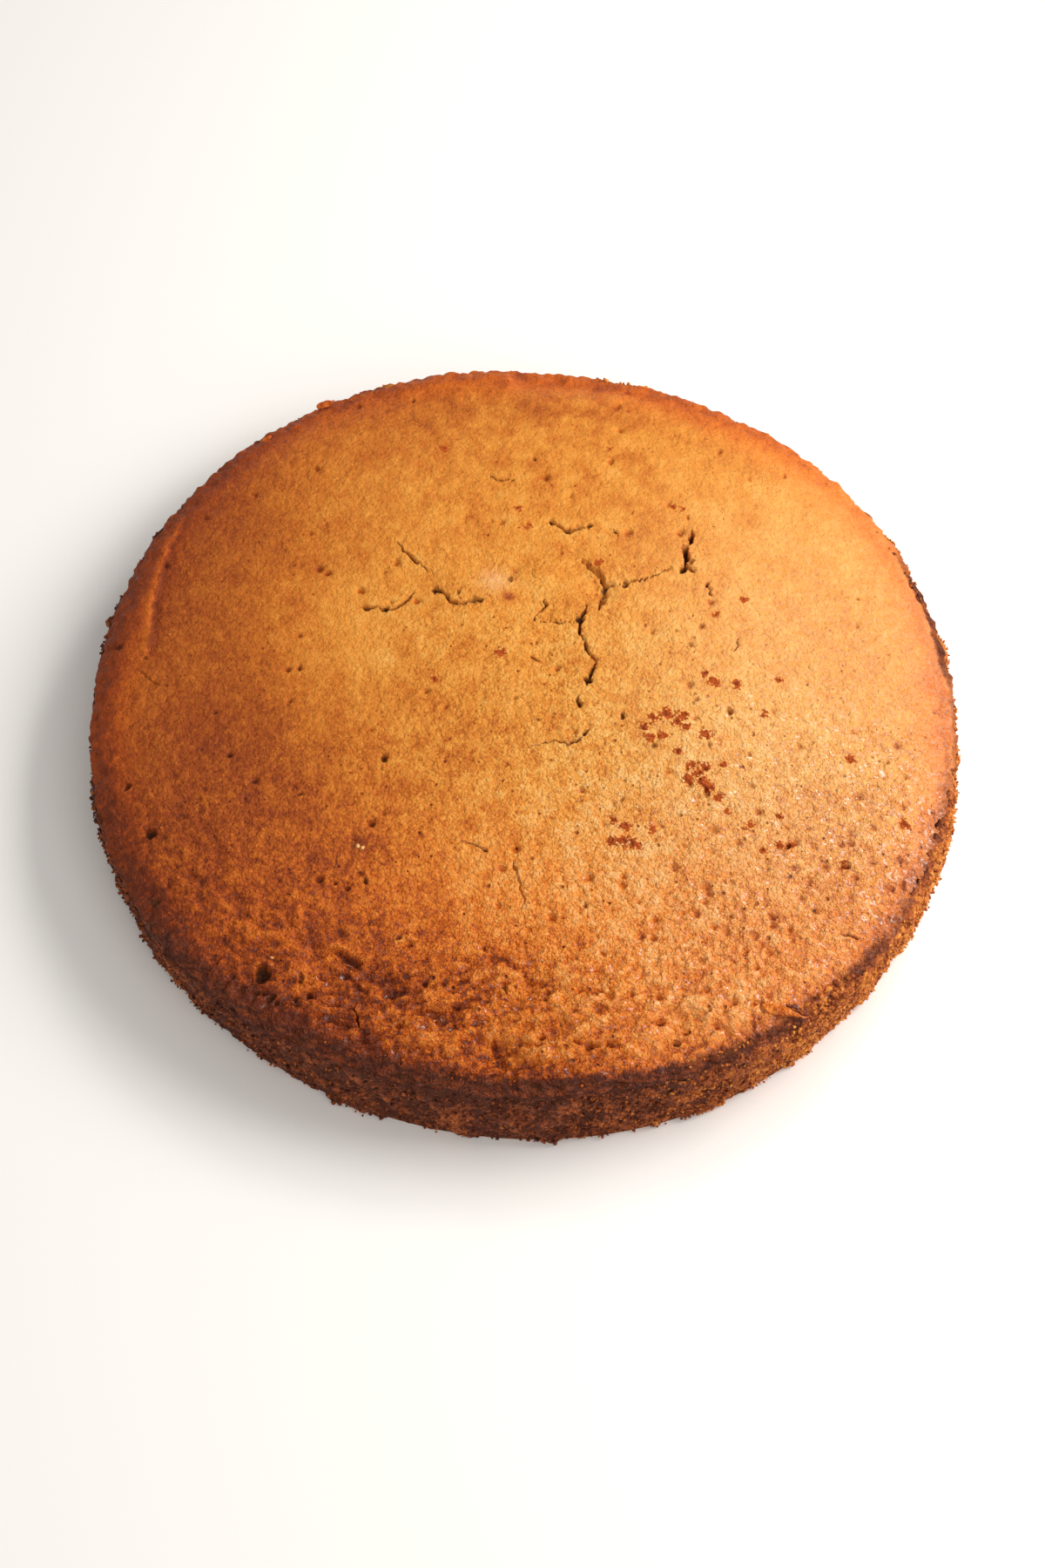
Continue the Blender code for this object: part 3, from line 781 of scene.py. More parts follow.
def blend_colour(tree, share, first, second, mode="MIX"):
    """Mix two colours by a share; either may be a plain colour."""
    made = wire(tree, "Mix", data_type="RGBA", blend_type=mode)
    for index, source in ((0, share), (6, first), (7, second)):
        if isinstance(source, bpy.types.NodeSocket):
            tree.links.new(source, made.inputs[index])
        else:
            made.inputs[index].default_value = source
    return made.outputs[2]


def remap(tree, value, low, high, to_low=0.0, to_high=1.0):
    """Stretch a value from one range to another, smoothly and within it."""
    made = wire(tree, "MapRange",
                {"From Min": low, "From Max": high, "To Min": to_low, "To Max": to_high},
                {"Value": value}, interpolation_type="SMOOTHSTEP")
    return made.outputs["Result"]


def new_group(name, inputs, outputs):
    """An empty shader group with named inputs and outputs, each a name and a start value."""
    group = bpy.data.node_groups.new(name, "ShaderNodeTree")
    group.interface.new_socket("Place", in_out="INPUT", socket_type="NodeSocketVector")
    for label, value in inputs:
        socket = group.interface.new_socket(label, in_out="INPUT", socket_type="NodeSocketFloat")
        socket.default_value = value
    for label in outputs:
        group.interface.new_socket(label, in_out="OUTPUT", socket_type="NodeSocketFloat")
    return group, group.nodes.new("NodeGroupInput"), group.nodes.new("NodeGroupOutput")


def grain_group():
    """Baked crumb seen close: cloudy noise in two sizes, both centred on nothing."""
    group, given, out = new_group("crumb_grain", [("Size", 0.001)], ["Grain", "Clump"])
    scale = join(group, 1.0, given.outputs["Size"], "DIVIDE")
    coarser = times(group, scale, 0.27)
    for name, detail, roughness, size in (("Grain", 3.0, 0.62, scale), ("Clump", 2.0, 0.5, coarser)):
        cloud = wire(group, "TexNoise", {"Detail": detail, "Roughness": roughness},
                     {"Vector": given.outputs["Place"], "Scale": size})
        group.links.new(join(group, cloud.outputs["Fac"], 0.5, "SUBTRACT"), out.inputs[name])
    return group


def cells_of(group, place, scale):
    """Cells of a loose net, and the channels of the colour that each draws."""
    cells = wire(group, "TexVoronoi", {"Randomness": 1.0}, {"Vector": place, "Scale": scale})
    pick = wire(group, "SeparateColor", links={"Color": cells.outputs["Color"]})
    return cells.outputs["Distance"], pick.outputs


def granule_group():
    """Packed granules: a dome over each, a tone that differs from one to the next, and a mask of the gaps
    between them, which the materials paint darker as shade.
    """
    group, given, out = new_group("granules", [("Size", 0.0006)], ["Dome", "Tone", "Gap"])
    scale = join(group, 1.0, given.outputs["Size"], "DIVIDE")
    drift = wire(group, "TexNoise", {"Detail": 1.0},
                 {"Vector": given.outputs["Place"], "Scale": times(group, scale, 0.7)})
    drift = wire(group, "VectorMath", {1: (0.5, 0.5, 0.5)}, {0: drift.outputs["Color"]},
                 operation="SUBTRACT")
    reach = times(group, given.outputs["Size"], 0.9)
    drift = wire(group, "VectorMath", links={0: drift.outputs["Vector"], "Scale": reach},
                 operation="SCALE")
    place = wire(group, "VectorMath",
                 links={0: given.outputs["Place"], 1: drift.outputs["Vector"]}, operation="ADD")
    far, pick = cells_of(group, place.outputs["Vector"], scale)
    group.links.new(join(group, 1.0, times(group, far, far), "SUBTRACT"), out.inputs["Dome"])
    group.links.new(join(group, pick["Red"], 0.5, "SUBTRACT"), out.inputs["Tone"])
    group.links.new(remap(group, far, 0.42, 0.85), out.inputs["Gap"])
    return group


def pinhole_group():
    """Small open pores: round pits of uneven size, in some of the cells of a loose net."""
    group, given, out = new_group("pinholes", [("Spacing", 0.004), ("Size", 0.12), ("Share", 0.5)], ["Pit"])
    scale = join(group, 1.0, given.outputs["Spacing"], "DIVIDE")
    far, pick = cells_of(group, given.outputs["Place"], scale)
    radius = times(group, join(group, times(group, pick["Green"], 0.7), 0.3), given.outputs["Size"])
    depth = join(group, 1.0, join(group, far, radius, "DIVIDE"), "SUBTRACT")
    chosen = join(group, pick["Red"], given.outputs["Share"], "LESS_THAN")
    group.links.new(join(group, times(group, depth, chosen), 0.0, "MAXIMUM"), out.inputs["Pit"])
    return group


CRUMB_GRAIN = grain_group()
GRANULES = granule_group()
PINHOLES = pinhole_group()


def use_group(tree, group, place, **values):
    """Place a shared effect in a material, with its own values."""
    made = wire(tree, "Group", node_tree=group)
    tree.links.new(place, made.inputs["Place"])
    for name, value in values.items():
        made.inputs[name].default_value = value
    return made.outputs


def attribute(tree, name):
    """A value that the mesh keeps for each vertex."""
    return wire(tree, "Attribute", attribute_name=name).outputs["Fac"]


def colour_ramp(tree, value, stops):
    """Turn a value into a colour through a row of stops."""
    made = wire(tree, "ValToRGB", links={"Fac": value})
    row = made.color_ramp.elements
    for element, (place, colour) in zip((row[0], row[-1]), (stops[0], stops[-1])):
        element.position = place
        element.color = (*colour, 1.0)
    for place, colour in stops[1:-1]:
        row.new(place).color = (*colour, 1.0)
    return made.outputs["Color"]


def new_material(name):
    """A new material, with its node tree, its shader and the place on the object."""
    material = bpy.data.materials.new(name)
    material.use_nodes = True
    tree = material.node_tree
    place = wire(tree, "TexCoord").outputs["Object"]
    return material, tree, tree.nodes["Principled BSDF"], place


def finish_surface(tree, shader, colour, roughness, relief):
    """Link a baked surface's colour, roughness and relief to its shader."""
    tree.links.new(colour, shader.inputs["Base Color"])
    tree.links.new(roughness, shader.inputs["Roughness"])
    shader.inputs["Specular IOR Level"].default_value = 0.16
    bump = wire(tree, "Bump", {"Strength": 1.0, "Distance": 1.0}, {"Height": relief})
    tree.links.new(bump.outputs["Normal"], shader.inputs["Normal"])


MOTTLE_CENTRE = -0.085
OCHRE_STOPS = [
    (0.00, (0.86, 0.500, 0.190)), (0.22, (0.80, 0.375, 0.078)), (0.42, (0.71, 0.265, 0.036)),
    (0.62, (0.54, 0.148, 0.016)), (0.80, (0.33, 0.064, 0.009)), (1.00, (0.15, 0.028, 0.008)),
]
RUDDY_STOPS = [
    (0.00, (0.90, 0.430, 0.145)), (0.22, (0.84, 0.295, 0.053)), (0.42, (0.74, 0.197, 0.022)),
    (0.62, (0.55, 0.112, 0.010)), (0.80, (0.33, 0.056, 0.008)), (1.00, (0.15, 0.027, 0.008)),
]
# Colour of the painted sheen at the right and of the pale blister
SHEEN_AND_PALE_COLOUR = (0.95, 0.62, 0.40, 1.0)
BAND_COLOUR = (0.078, 0.019, 0.010, 1.0)
BAND_STREAK_COLOUR = (0.230, 0.047, 0.012, 1.0)
# Colour of the painted shade in cracks, pores and the band's slots
CRACK_SHADE_COLOUR = (0.082, 0.022, 0.007, 1.0)
FLECK_COLOUR = (0.42, 0.070, 0.006, 1.0)
FLECK_CORE_COLOUR = (0.20, 0.030, 0.004, 1.0)
BAND_STREAK = (1.0, 1.0, 5.0)
RIPPLE_STRETCH = 2.1
RIPPLE_SLANT = 0.18


def rim_place(tree, place):
    """A place by its run along the rim, shortened, and its reach from the middle."""
    split = wire(tree, "SeparateXYZ", links={"Vector": place}).outputs
    turn = join(tree, split["X"], times(tree, split["Y"], -1.0), "ARCTAN2")
    run = times(tree, turn, RIM_RADIUS)
    reach = wire(tree, "VectorMath", links={0: place}, operation="LENGTH").outputs["Value"]
    across = join(tree, reach, times(tree, run, RIPPLE_SLANT))
    short = join(tree, run, RIPPLE_STRETCH, "DIVIDE")
    return wire(tree, "CombineXYZ", links={"X": short, "Y": across}).outputs["Vector"]


def crust_material():
    """Browned crust: the colour follows the browning and painted shade, over clumps, granules, pits and
    flecks.
    """
    material, tree, shader, place = new_material("baked_crust")
    fine = use_group(tree, GRANULES, place, Size=0.00062)
    coarse = use_group(tree, GRANULES, place, Size=0.00140)
    cloud = use_group(tree, CRUMB_GRAIN, place, Size=0.00140)
    grit = use_group(tree, CRUMB_GRAIN, place, Size=0.00095)["Grain"]
    blotch = use_group(tree, CRUMB_GRAIN, place, Size=0.0075)
    grainy, fleck = attribute(tree, "grainy"), attribute(tree, "fleck")
    pits = use_group(tree, PINHOLES, place, Spacing=0.0030, Size=0.22, Share=0.60)["Pit"]
    pits = times(tree, pits, grainy)
    ripple = use_group(tree, CRUMB_GRAIN, rim_place(tree, place), Size=0.0016)
    ripple = weighted(tree, times(tree, ripple["Grain"], 0.8), (ripple["Clump"], 0.5))
    ripple = times(tree, ripple, attribute(tree, "drawn"))
    # The granules' gaps are painted darker, as shade between them. The rest of the mottle is the crust's
    # own uneven tone.
    mottle = weighted(tree, MOTTLE_CENTRE, (fine["Tone"], 0.12), (fine["Gap"], 0.07),
                      (coarse["Tone"], 0.11), (coarse["Gap"], 0.03), (cloud["Grain"], 0.32), (grit, 0.52))
    # The crust's colour: its browning, with painted shade and painted light laid in.
    brown = join(tree, attribute(tree, "bake"), times(tree, mottle, grainy))
    blotches = times(tree, weighted(tree, 0.0, (blotch["Grain"], 0.42), (blotch["Clump"], 0.32)),
                     remap(tree, grainy, 0.35, 1.10, 0.12, 0.42))
    pit_shade = remap(tree, pits, 0.0, 0.60, 0.0, 0.36)
    # Painted shade and light: the ripples are painted darker in their troughs and paler on their crests,
    # from the same noise as their relief.
    brown = weighted(tree, join(tree, brown, blotches), (pit_shade, 1.0), (ripple, -0.90))
    colour = blend_colour(tree, attribute(tree, "ruddy"), colour_ramp(tree, brown, OCHRE_STOPS),
                          colour_ramp(tree, brown, RUDDY_STOPS))
    # Painted sheen: the pale pinkish tint at the right stands in for a reflection of the light.
    sheen_and_pale_spot = times(tree, attribute(tree, "sheen_and_pale_spot"), remap(tree, fine["Tone"], -0.5, 0.5, 0.5, 1.5))
    colour = blend_colour(tree, sheen_and_pale_spot, colour, SHEEN_AND_PALE_COLOUR)
    broken = weighted(tree, fleck, (cloud["Grain"], 1.7), (fine["Tone"], 0.60))
    fleck_mask = times(tree, remap(tree, broken, 0.30, 0.58), remap(tree, fleck, 0.06, 0.24))
    colour = blend_colour(tree, fleck_mask, colour, FLECK_COLOUR)
    colour = blend_colour(tree, remap(tree, broken, 0.90, 1.15), colour, FLECK_CORE_COLOUR)
    stretched = wire(tree, "Mapping", {"Scale": BAND_STREAK}, {"Vector": place}).outputs["Vector"]
    streak = use_group(tree, CRUMB_GRAIN, stretched, Size=0.0030)
    band_tone = remap(tree, weighted(tree, streak["Grain"], (fine["Tone"], 0.12)), -0.10, 0.17)
    band_tone = blend_colour(tree, band_tone, BAND_COLOUR, BAND_STREAK_COLOUR)
    band_edge = weighted(tree, attribute(tree, "band"), (blotch["Grain"], 0.35), (cloud["Grain"], 0.45))
    band_edge = remap(tree, band_edge, 0.12, 0.85)
    colour = blend_colour(tree, band_edge, colour, band_tone)
    # Painted shade: cracks, pores and the band's slots are painted dark inside.
    crack = attribute(tree, "crack")
    colour = blend_colour(tree, crack, colour, CRACK_SHADE_COLOUR)
    glint = times(tree, remap(tree, fine["Tone"], 0.14, 0.36), remap(tree, grainy, 0.70, 1.30),
                  remap(tree, coarse["Tone"], -0.30, 0.20, 0.25, 1.0),
                  join(tree, 1.0, fleck_mask, "SUBTRACT"), remap(tree, band_edge, 0.0, 0.6, 1.0, 0.12),
                  join(tree, 1.0, crack, "SUBTRACT"))
    tree.links.new(glint, shader.inputs["Coat Weight"])
    shader.inputs["Coat Roughness"].default_value = 0.17
    shader.inputs["Coat IOR"].default_value = 1.55
    relief = weighted(tree, 0.0, (fine["Dome"], 0.00024), (coarse["Dome"], 0.00028), (grit, 0.00055),
                      (pits, -0.00060))
    relief = weighted(tree, times(tree, relief, grainy), (cloud["Grain"], 0.00060),
                      (cloud["Clump"], 0.00050), (ripple, 0.00250))
    relief = times(tree, relief, remap(tree, band_edge, 0.0, 1.0, 1.0, 1.15))
    finish_surface(tree, shader, colour, remap(tree, fine["Tone"], -0.4, 0.5, 0.68, 0.46), relief)
    return material


def dimple_depth(x, y):
    """How deep each place lies below the crown in a soft dimple."""
    return dimple_share(x, y) * DIMPLE_DEPTH * DIMPLE_SIZES[1]


def make_crust():
    """The whole skin, from the middle of the crown to the underside of the band."""
    shape = bmesh.new()
    bmesh.ops.create_grid(shape, x_segments=CROWN_CELLS, y_segments=CROWN_CELLS, size=1.0)
    spread_on_disc(shape)
    refine_detail(shape)
    x, y, _ = places(shape.verts)
    heights = crown_height(x, y) - (crack_depth(x, y)[0] + dimple_depth(x, y))
    for vert, height in zip(shape.verts, heights):
        vert.co.z = height
    edge = [e for e in shape.edges if e.is_boundary]
    turns, heights = zip(*sorted((angle, vert.co.z) for vert, angle in ring(edge)))
    roll_band(shape, edge, lambda angle: float(np.interp(angle, turns, heights, period=math.tau)))
    crust = as_piece("crust", shape, crust_material())
    x, y, z = mesh_places(crust.data)
    over = band_place(x, y)
    # Painted shade in the openings: cracks and pores on the crown, slots on the band.
    crack = np.maximum(crack_depth(x, y)[1] * (over < 0.3), slot_share(np.arctan2(y, x), z) * (over > 0.1))
    store(crust.data, bake=bake_depth(x, y), band=band_share(x, y, z), crack=crack, **crust_values(x, y))
    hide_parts("cake")
    return crust


crust = make_crust()

# Crust grains: specks of batter and sugar that baked onto the skin. They are sunk to half their
# depth in it, share its colour, and are thickest at the front and the right.

CRUST_GRAINS = 9300
CRUST_GRAIN_SIZES = (0.00022, 0.00052)
CRUST_GRAIN_SINK = 0.25
CRUST_GRAIN_SEED = 23
# Pale grains that show singly: x, y and radius in tenths of a millimetre
PALE_GRAINS = [(-417, -485, 11), (-404, -488, 9), (-621, -776, 11)]
PALE_GRAIN_BAKE = -0.9


def grain_template():
    """The corners and faces of one grain, a ball of 20 faces."""
    shape = bmesh.new()
    bmesh.ops.create_icosphere(shape, subdivisions=1, radius=1.0)
    corners = np.array([vert.co[:] for vert in shape.verts])
    faces = np.array([[vert.index for vert in face.verts] for face in shape.faces])
    shape.free()
    return corners, faces


def scatter_grains(name, centres, sizes, material, seed):
    """One mesh of rough grains, each at a place and of a size, turned at random."""
    draw = np.random.default_rng(seed)
    corners, faces = grain_template()
    count = len(centres)
    shapes = corners[None] * draw.uniform(0.62, 1.38, (count, len(corners), 1))
    shapes *= draw.uniform(0.6, 1.0, (count, 1, 3))
    turns = np.linalg.qr(draw.normal(size=(count, 3, 3)))[0]
    turns *= np.sign(np.linalg.det(turns))[:, None, None]
    shapes = np.einsum("nij,nkj->nki", turns, shapes)
    points = np.asarray(centres)[:, None] + shapes * np.asarray(sizes)[:, None, None]
    index = faces[None] + np.arange(count)[:, None, None] * len(corners)
    mesh = bpy.data.meshes.new(name)
    mesh.from_pydata(points.reshape(-1, 3).tolist(), [], index.reshape(-1, 3).tolist())
    return add_piece(name, mesh, material)


def make_crust_grains():
    """Grains over the crown, with the crust's own colours at each place."""
    draw = np.random.default_rng(CRUST_GRAIN_SEED)
    tries = CRUST_GRAINS * 4
    angle = draw.uniform(-math.pi, math.pi, tries)
    reach = rim_radius(angle) * np.sqrt(draw.uniform(0, 1, tries))
    x, y = reach * np.cos(angle), reach * np.sin(angle)
    clear = crack_depth(x, y)[0] < 0.0001
    liked = draw.uniform(0, 1, tries) < 0.06 + 0.94 * step(graininess(x, y), 0.80, 1.40)
    chosen = np.flatnonzero(clear & liked)[:CRUST_GRAINS]
    pale_x, pale_y, pale_sizes = zip(*metres(PALE_GRAINS))
    low, high = CRUST_GRAIN_SIZES
    sizes = np.append(low + (high - low) * draw.uniform(0, 1, len(chosen)) ** 2, pale_sizes)
    x, y = np.append(x[chosen], pale_x), np.append(y[chosen], pale_y)
    z = crown_height(x, y) - dimple_depth(x, y) - CRUST_GRAIN_SINK * sizes
    centres = np.stack((x, y, z), axis=1)
    grains = scatter_grains("crust_grains", centres, sizes, crust.data.materials[0], CRUST_GRAIN_SEED)
    grains.data.shade_smooth()
    lighter = draw.uniform(-0.16, 0.06, len(x))
    lighter[-len(PALE_GRAINS):] = PALE_GRAIN_BAKE
    lighter = np.repeat(lighter, len(grains.data.vertices) // len(x))
    x, y, _ = mesh_places(grains.data)
    bake = np.clip(bake_depth(x, y) + lighter, 0, BAKE_MOST)
    store(grains.data, bake=bake, band=0, crack=0, **crust_values(x, y))


make_crust_grains()

# Torn flakes: slivers of the skin that the tin tore up at the rim, one long splinter at the front
# right and small lips at the back left. Each is a thin tapering chip, still fixed at its root.

# Each chip, in tenths of a millimetre: its root, its tip, the width at its root and its thickness.
# The last value is how far it is baked
FLAKES = [
    (580, -896, 270, 700, -920, 254, 32, 18, 0.60), (590, -872, 270, 596, -902, 270, 10, 10, 0.25),
    (625, -878, 262, 688, -900, 252, 16, 8, 1.10), (-583, 1004, 230, -533, 1020, 238, 30, 12, 0.70),
    (-735, 868, 228, -688, 902, 236, 28, 12, 0.72), (300, 1085, 226, 330, 1082, 234, 22, 12, 0.35),
]
FLAKE_ROUGH = (0.0005, 0.0017)
FLAKE_DETAIL = 5


def add_flake(shape, root, tip, width, thickness):
    """One chip: a ball drawn out from root to tip, flat, tapering and uneven."""
    height, size = FLAKE_ROUGH
    ball = bmesh.ops.create_icosphere(shape, subdivisions=FLAKE_DETAIL, radius=1.0)["verts"]
    root, tip = Vector(root), Vector(tip)
    side = (tip - root).cross(Vector((0.0, 0.0, 1.0))).normalized()
    above = side.cross(tip - root).normalized()
    for vert in ball:
        share = (vert.co.x + 1) / 2
        taper = 1.0 - 0.72 * share
        place = root.lerp(tip, share) + side * vert.co.y * width / 2 * taper
        place += above * vert.co.z * thickness / 2 * (1.0 - 0.4 * share)
        push = Vector((noise.noise(place / size + Vector((0, 0, 9 * k))) for k in range(3)))
        vert.co = place + height * push


def make_flakes():
    """The chips as one mesh, with the crust's colours."""
    shape = bmesh.new()
    baked = []
    for *form, bake in metres(FLAKES, 8):
        before = len(shape.verts)
        add_flake(shape, form[:3], form[3:6], *form[6:])
        baked += [bake] * (len(shape.verts) - before)
    flakes = as_piece("crust_flakes", shape, crust.data.materials[0]).data
    x, y, _ = mesh_places(flakes)
    bake = np.array(baked) + 0.20 * grain(x, y, 0.0022, 1.1)
    plain = dict.fromkeys(("band", "crack", "fleck", "sheen_and_pale_spot", "drawn"), 0)
    store(flakes, **{"bake": bake, **crust_values(x, y), **plain})


make_flakes()

# The wall: crumb that tore from the tin's side as the cake came out. It is open and rough,
# darker at the front and the left and golden towards the right, partly the crumb's own colour and
# partly painted light on the side that the light falls on. The base is the same crumb, pressed flat
# by the tin's floor.

FOOT_INSET = 0.0008
FOOT_HEIGHT = 0.0012
# The crumb's roughness: height, size
WALL_ROUGH = [(0.0012, 0.0125), (0.0011, 0.0042), (0.0008, 0.0014)]
WALL_COLUMNS = 1120
WALL_ROWS = 30
WALL_TUCK = 0.0030
WALL_TOP = 0.0220
WALL_TOP_SLOPE = 0.0005
WALL_SET_BACK = 0.0004
WALL_LAP = -0.0003
WALL_LIFT_START = 0.0140
RIM_STEPS = 721
SHOULDER_SHARES = np.linspace(0.2, 1.0, 25)
BASE_RINGS = (0.985, 0.95, 0.86, 0.7, 0.5, 0.25)
BASE_TONE = 0.45


def wall_roughness(angle, height):
    """How far the torn crumb stands in or out at a place on the wall."""
    place = Vector(at(FOOT_RADIUS, angle, height))
    return sum(most * noise.noise(place / size) for most, size in WALL_ROUGH)


def wall_levels():
    """The rows of the wall from its tucked top edge down: height and inset."""
    rows = [(WALL_TOP - 0.0006, WALL_TUCK), (WALL_TOP - 0.0002, 0.0012)]
    top = WALL_TOP
    rows += [(top + (FOOT_HEIGHT - top) * row / WALL_ROWS, 0.0) for row in range(WALL_ROWS + 1)]
    rows += [(FOOT_HEIGHT / 2, FOOT_INSET * 0.35), (0.0, FOOT_INSET)]
    return rows


def rim_tops():
    """Heights of the crown's edge, for a row of directions."""
    turns = np.linspace(-math.pi, math.pi, RIM_STEPS)
    reach = crown_edge(turns)
    return turns, crown_height(reach * np.cos(turns), reach * np.sin(turns))


RIM_TURNS, RIM_TOPS = rim_tops()


def wall_lift(angle):
    """How much higher the crumb starts where the skin tore short."""
    top = float(np.interp(angle, RIM_TURNS, RIM_TOPS))
    return max(0.0, float(shoulder_height(angle, band_end(angle), top)) - WALL_LAP - WALL_TOP)


def wall_inset(angle, height):
    """How far the crumb stands in from the wall's face near the top, as the rim does above it."""
    top = float(np.interp(angle, RIM_TURNS, RIM_TOPS))
    heights = shoulder_height(angle, SHOULDER_SHARES, top)
    over = float(np.interp(height, heights[::-1], SHOULDER_SHARES[::-1]))
    slope = WALL_TOP_SLOPE * float(step(height, WALL_TOP - 0.004, WALL_TOP))
    return max(SHOULDER_INSET * (1 - over), slope)


def make_wall_shape():
    """A drum whose side is drawn down row by row, with its base closed by shrinking rings."""
    shape = bmesh.new()
    bmesh.ops.create_circle(shape, cap_ends=True, segments=WALL_COLUMNS, radius=1.0)
    edge = [e for e in shape.edges if e.is_boundary]
    for index, (height, inset) in enumerate(wall_levels()):
        if index:
            edge = next_row(shape, edge)
        for vert, angle in ring(edge):
            level = height + wall_lift(angle) * float(step(height, WALL_LIFT_START, WALL_TOP - 0.0006))
            radius = float(wall_radius(angle, level)) - inset - wall_inset(angle, level)
            if inset < FOOT_INSET / 2:
                radius += wall_roughness(angle, level) - WALL_SET_BACK
            vert.co = at(radius, angle, level)
    for share in BASE_RINGS:
        edge = next_row(shape, edge)
        for vert, angle in ring(edge):
            vert.co = at((float(wall_radius(angle, 0.0)) - FOOT_INSET) * share, angle, 0.0)
    bmesh.ops.contextual_create(shape, geom=edge)
    return shape


WALL_STOPS = [
    (0.00, (0.085, 0.021, 0.010)), (0.28, (0.225, 0.052, 0.016)), (0.52, (0.415, 0.103, 0.024)),
    (0.80, (0.660, 0.220, 0.036)), (1.00, (0.800, 0.330, 0.070)),
]


def crumb_material(name):
    """Torn crumb: darker in its hollows, gaps and pits as painted shade, and golden on the grains that
    stand out.
    """
    material, tree, shader, place = new_material(name)
    fine = use_group(tree, GRANULES, place, Size=0.00055)
    coarse = use_group(tree, GRANULES, place, Size=0.00130)
    cloud = use_group(tree, CRUMB_GRAIN, place, Size=0.0030)
    pits = use_group(tree, PINHOLES, place, Spacing=0.0024, Size=0.28, Share=0.45)["Pit"]
    # Painted shade: the gaps between granules and the pits are painted darker.
    tone = weighted(tree, attribute(tree, "tone"), (fine["Tone"], 0.26), (fine["Gap"], -0.16),
                    (coarse["Tone"], 0.32), (coarse["Gap"], -0.14), (cloud["Grain"], 0.34), (pits, -0.40))
    relief = weighted(tree, 0.0, (fine["Dome"], 0.00022), (coarse["Dome"], 0.00040), (pits, -0.00050))
    finish_surface(tree, shader, colour_ramp(tree, tone, WALL_STOPS),
                   remap(tree, fine["Tone"], -0.4, 0.5, 0.85, 0.50), relief)
    return material


def golden_lit_side(angle, starts, ends):
    """1 on the right side, which is painted lighter, partly golden crumb and partly painted light where the
    light falls, between two fades given in degrees.
    """
    return step(angle, *np.radians(starts)) * (1 - step(angle, *np.radians(ends)))


def make_wall():
    """The torn side and the flat base."""
    wall = as_piece("crumb_wall", make_wall_shape(), crumb_material("torn_crumb")).data
    x, y, z = mesh_places(wall)
    angle = np.arctan2(y, x)
    # proud: how far the crumb stands out. The tone below is lighter there and darker in the hollows, as
    # painted shade.
    proud = (np.hypot(x, y) - wall_radius(angle, z)) / 0.0016
    side = golden_lit_side(angle, (-92, -38), (100, 160))
    low = 1 - step(z, 0.008, WALL_TOP)
    run = angle * FOOT_RADIUS
    patch = grain(run, z, 0.008, 3.9) + 0.7 * grain(run, z * 1.6, 0.0034, 6.4)
    # Lighter on the right side: partly the crumb's golden colour and partly painted light.
    tone = 0.18 + 0.24 * proud + 0.62 * side + 0.06 * low + 0.30 * patch
    # Painted shadow: a dark line along the top of the wall, under the crust's overhang.
    tone -= 0.24 * step(z, WALL_TOP - 0.0034, WALL_TOP - 0.0008) * (1 - side)
    tone[z < FOOT_HEIGHT / 4] = BASE_TONE
    store(wall, tone=np.clip(tone, 0, 1))


make_wall()

# Loose crumbs: grains and flakes of cake that the tin pulled half free. They cling to the wall,
# thickest at its middle height, and a few large ones stand out past the outline.

CRUMB_COUNT = 6200
CRUMB_SIZES = (0.00030, 0.00078)
CRUMB_CROWD = (-85, 30)
CRUMB_SEED = 41
TORN_CRUMB_COUNT = 260
RIM_CRUMB_COUNT = 380
RIM_TORN_ARC = (14, 9)
# Height and size in tenths of a millimetre, direction in degrees
LARGE_CRUMBS = [
    (175, 19, 164.5), (110, 19, 3.4), (100, 19, -3.3), (110, 14, -12.8), (100, 17, -27.0),
    (150, 22, -47.0), (80, 15, -51.0), (185, 15, 90.2), (205, 14, 79.0),
]


def crumb_spots():
    """Where each crumb clings to the wall or the rim, how large it is and how golden."""
    draw = random.Random(CRUMB_SEED)
    wanted = [(math.radians(turn), height, size) for height, size, turn in metres(LARGE_CRUMBS, 2)]
    low, high = CRUMB_SIZES
    for _ in range(CRUMB_COUNT):
        size = low + (high - low) * draw.random() ** 2.2
        around = (-180, 180) if draw.random() < 0.70 else CRUMB_CROWD
        turn = draw.uniform(*map(math.radians, around))
        wanted.append((turn, draw.uniform(size + 0.0002, WALL_TOP + wall_lift(turn) - 0.0003), size))
    spots = []

    def add(radius, angle, height, size, tone):
        """Keep one crumb."""
        spots.append((at(radius, angle, height), size, tone))

    for angle, height, size in wanted:
        radius = float(wall_radius(angle, height)) - wall_inset(angle, height)
        radius += wall_roughness(angle, height)
        radius += size * draw.uniform(-0.55, 0.10)
        # Crumbs on the right side are painted lighter too: partly golden crumb and partly painted light.
        tone = 0.22 + 0.54 * float(golden_lit_side(angle, (-95, -38), (110, 150))) + draw.uniform(-0.26, 0.32)
        add(radius, angle, height, size, tone)
    for _ in range(TORN_CRUMB_COUNT):
        angle = draw.gauss(*map(math.radians, BAND_TORN_ARC))
        height = draw.uniform(0.0180, 0.0250)
        radius = float(wall_radius(angle, height)) - wall_inset(angle, height)
        add(radius, angle, height, draw.uniform(0.0004, 0.0011), draw.uniform(0.30, 0.85))
    for _ in range(RIM_CRUMB_COUNT):
        angle = draw.gauss(*map(math.radians, RIM_TORN_ARC))
        share = draw.random()
        radius = float(rim_radius(angle)) + BAND_INSET * (0.1 + 0.75 * share)
        height = WALL_HEIGHT + BAND_HEIGHT * (0.86 - 0.62 * share ** 2)
        add(radius, angle, height, draw.uniform(0.0003, 0.0008), draw.choice((0.0, 0.20, 0.55, 0.80)))
    return zip(*spots)


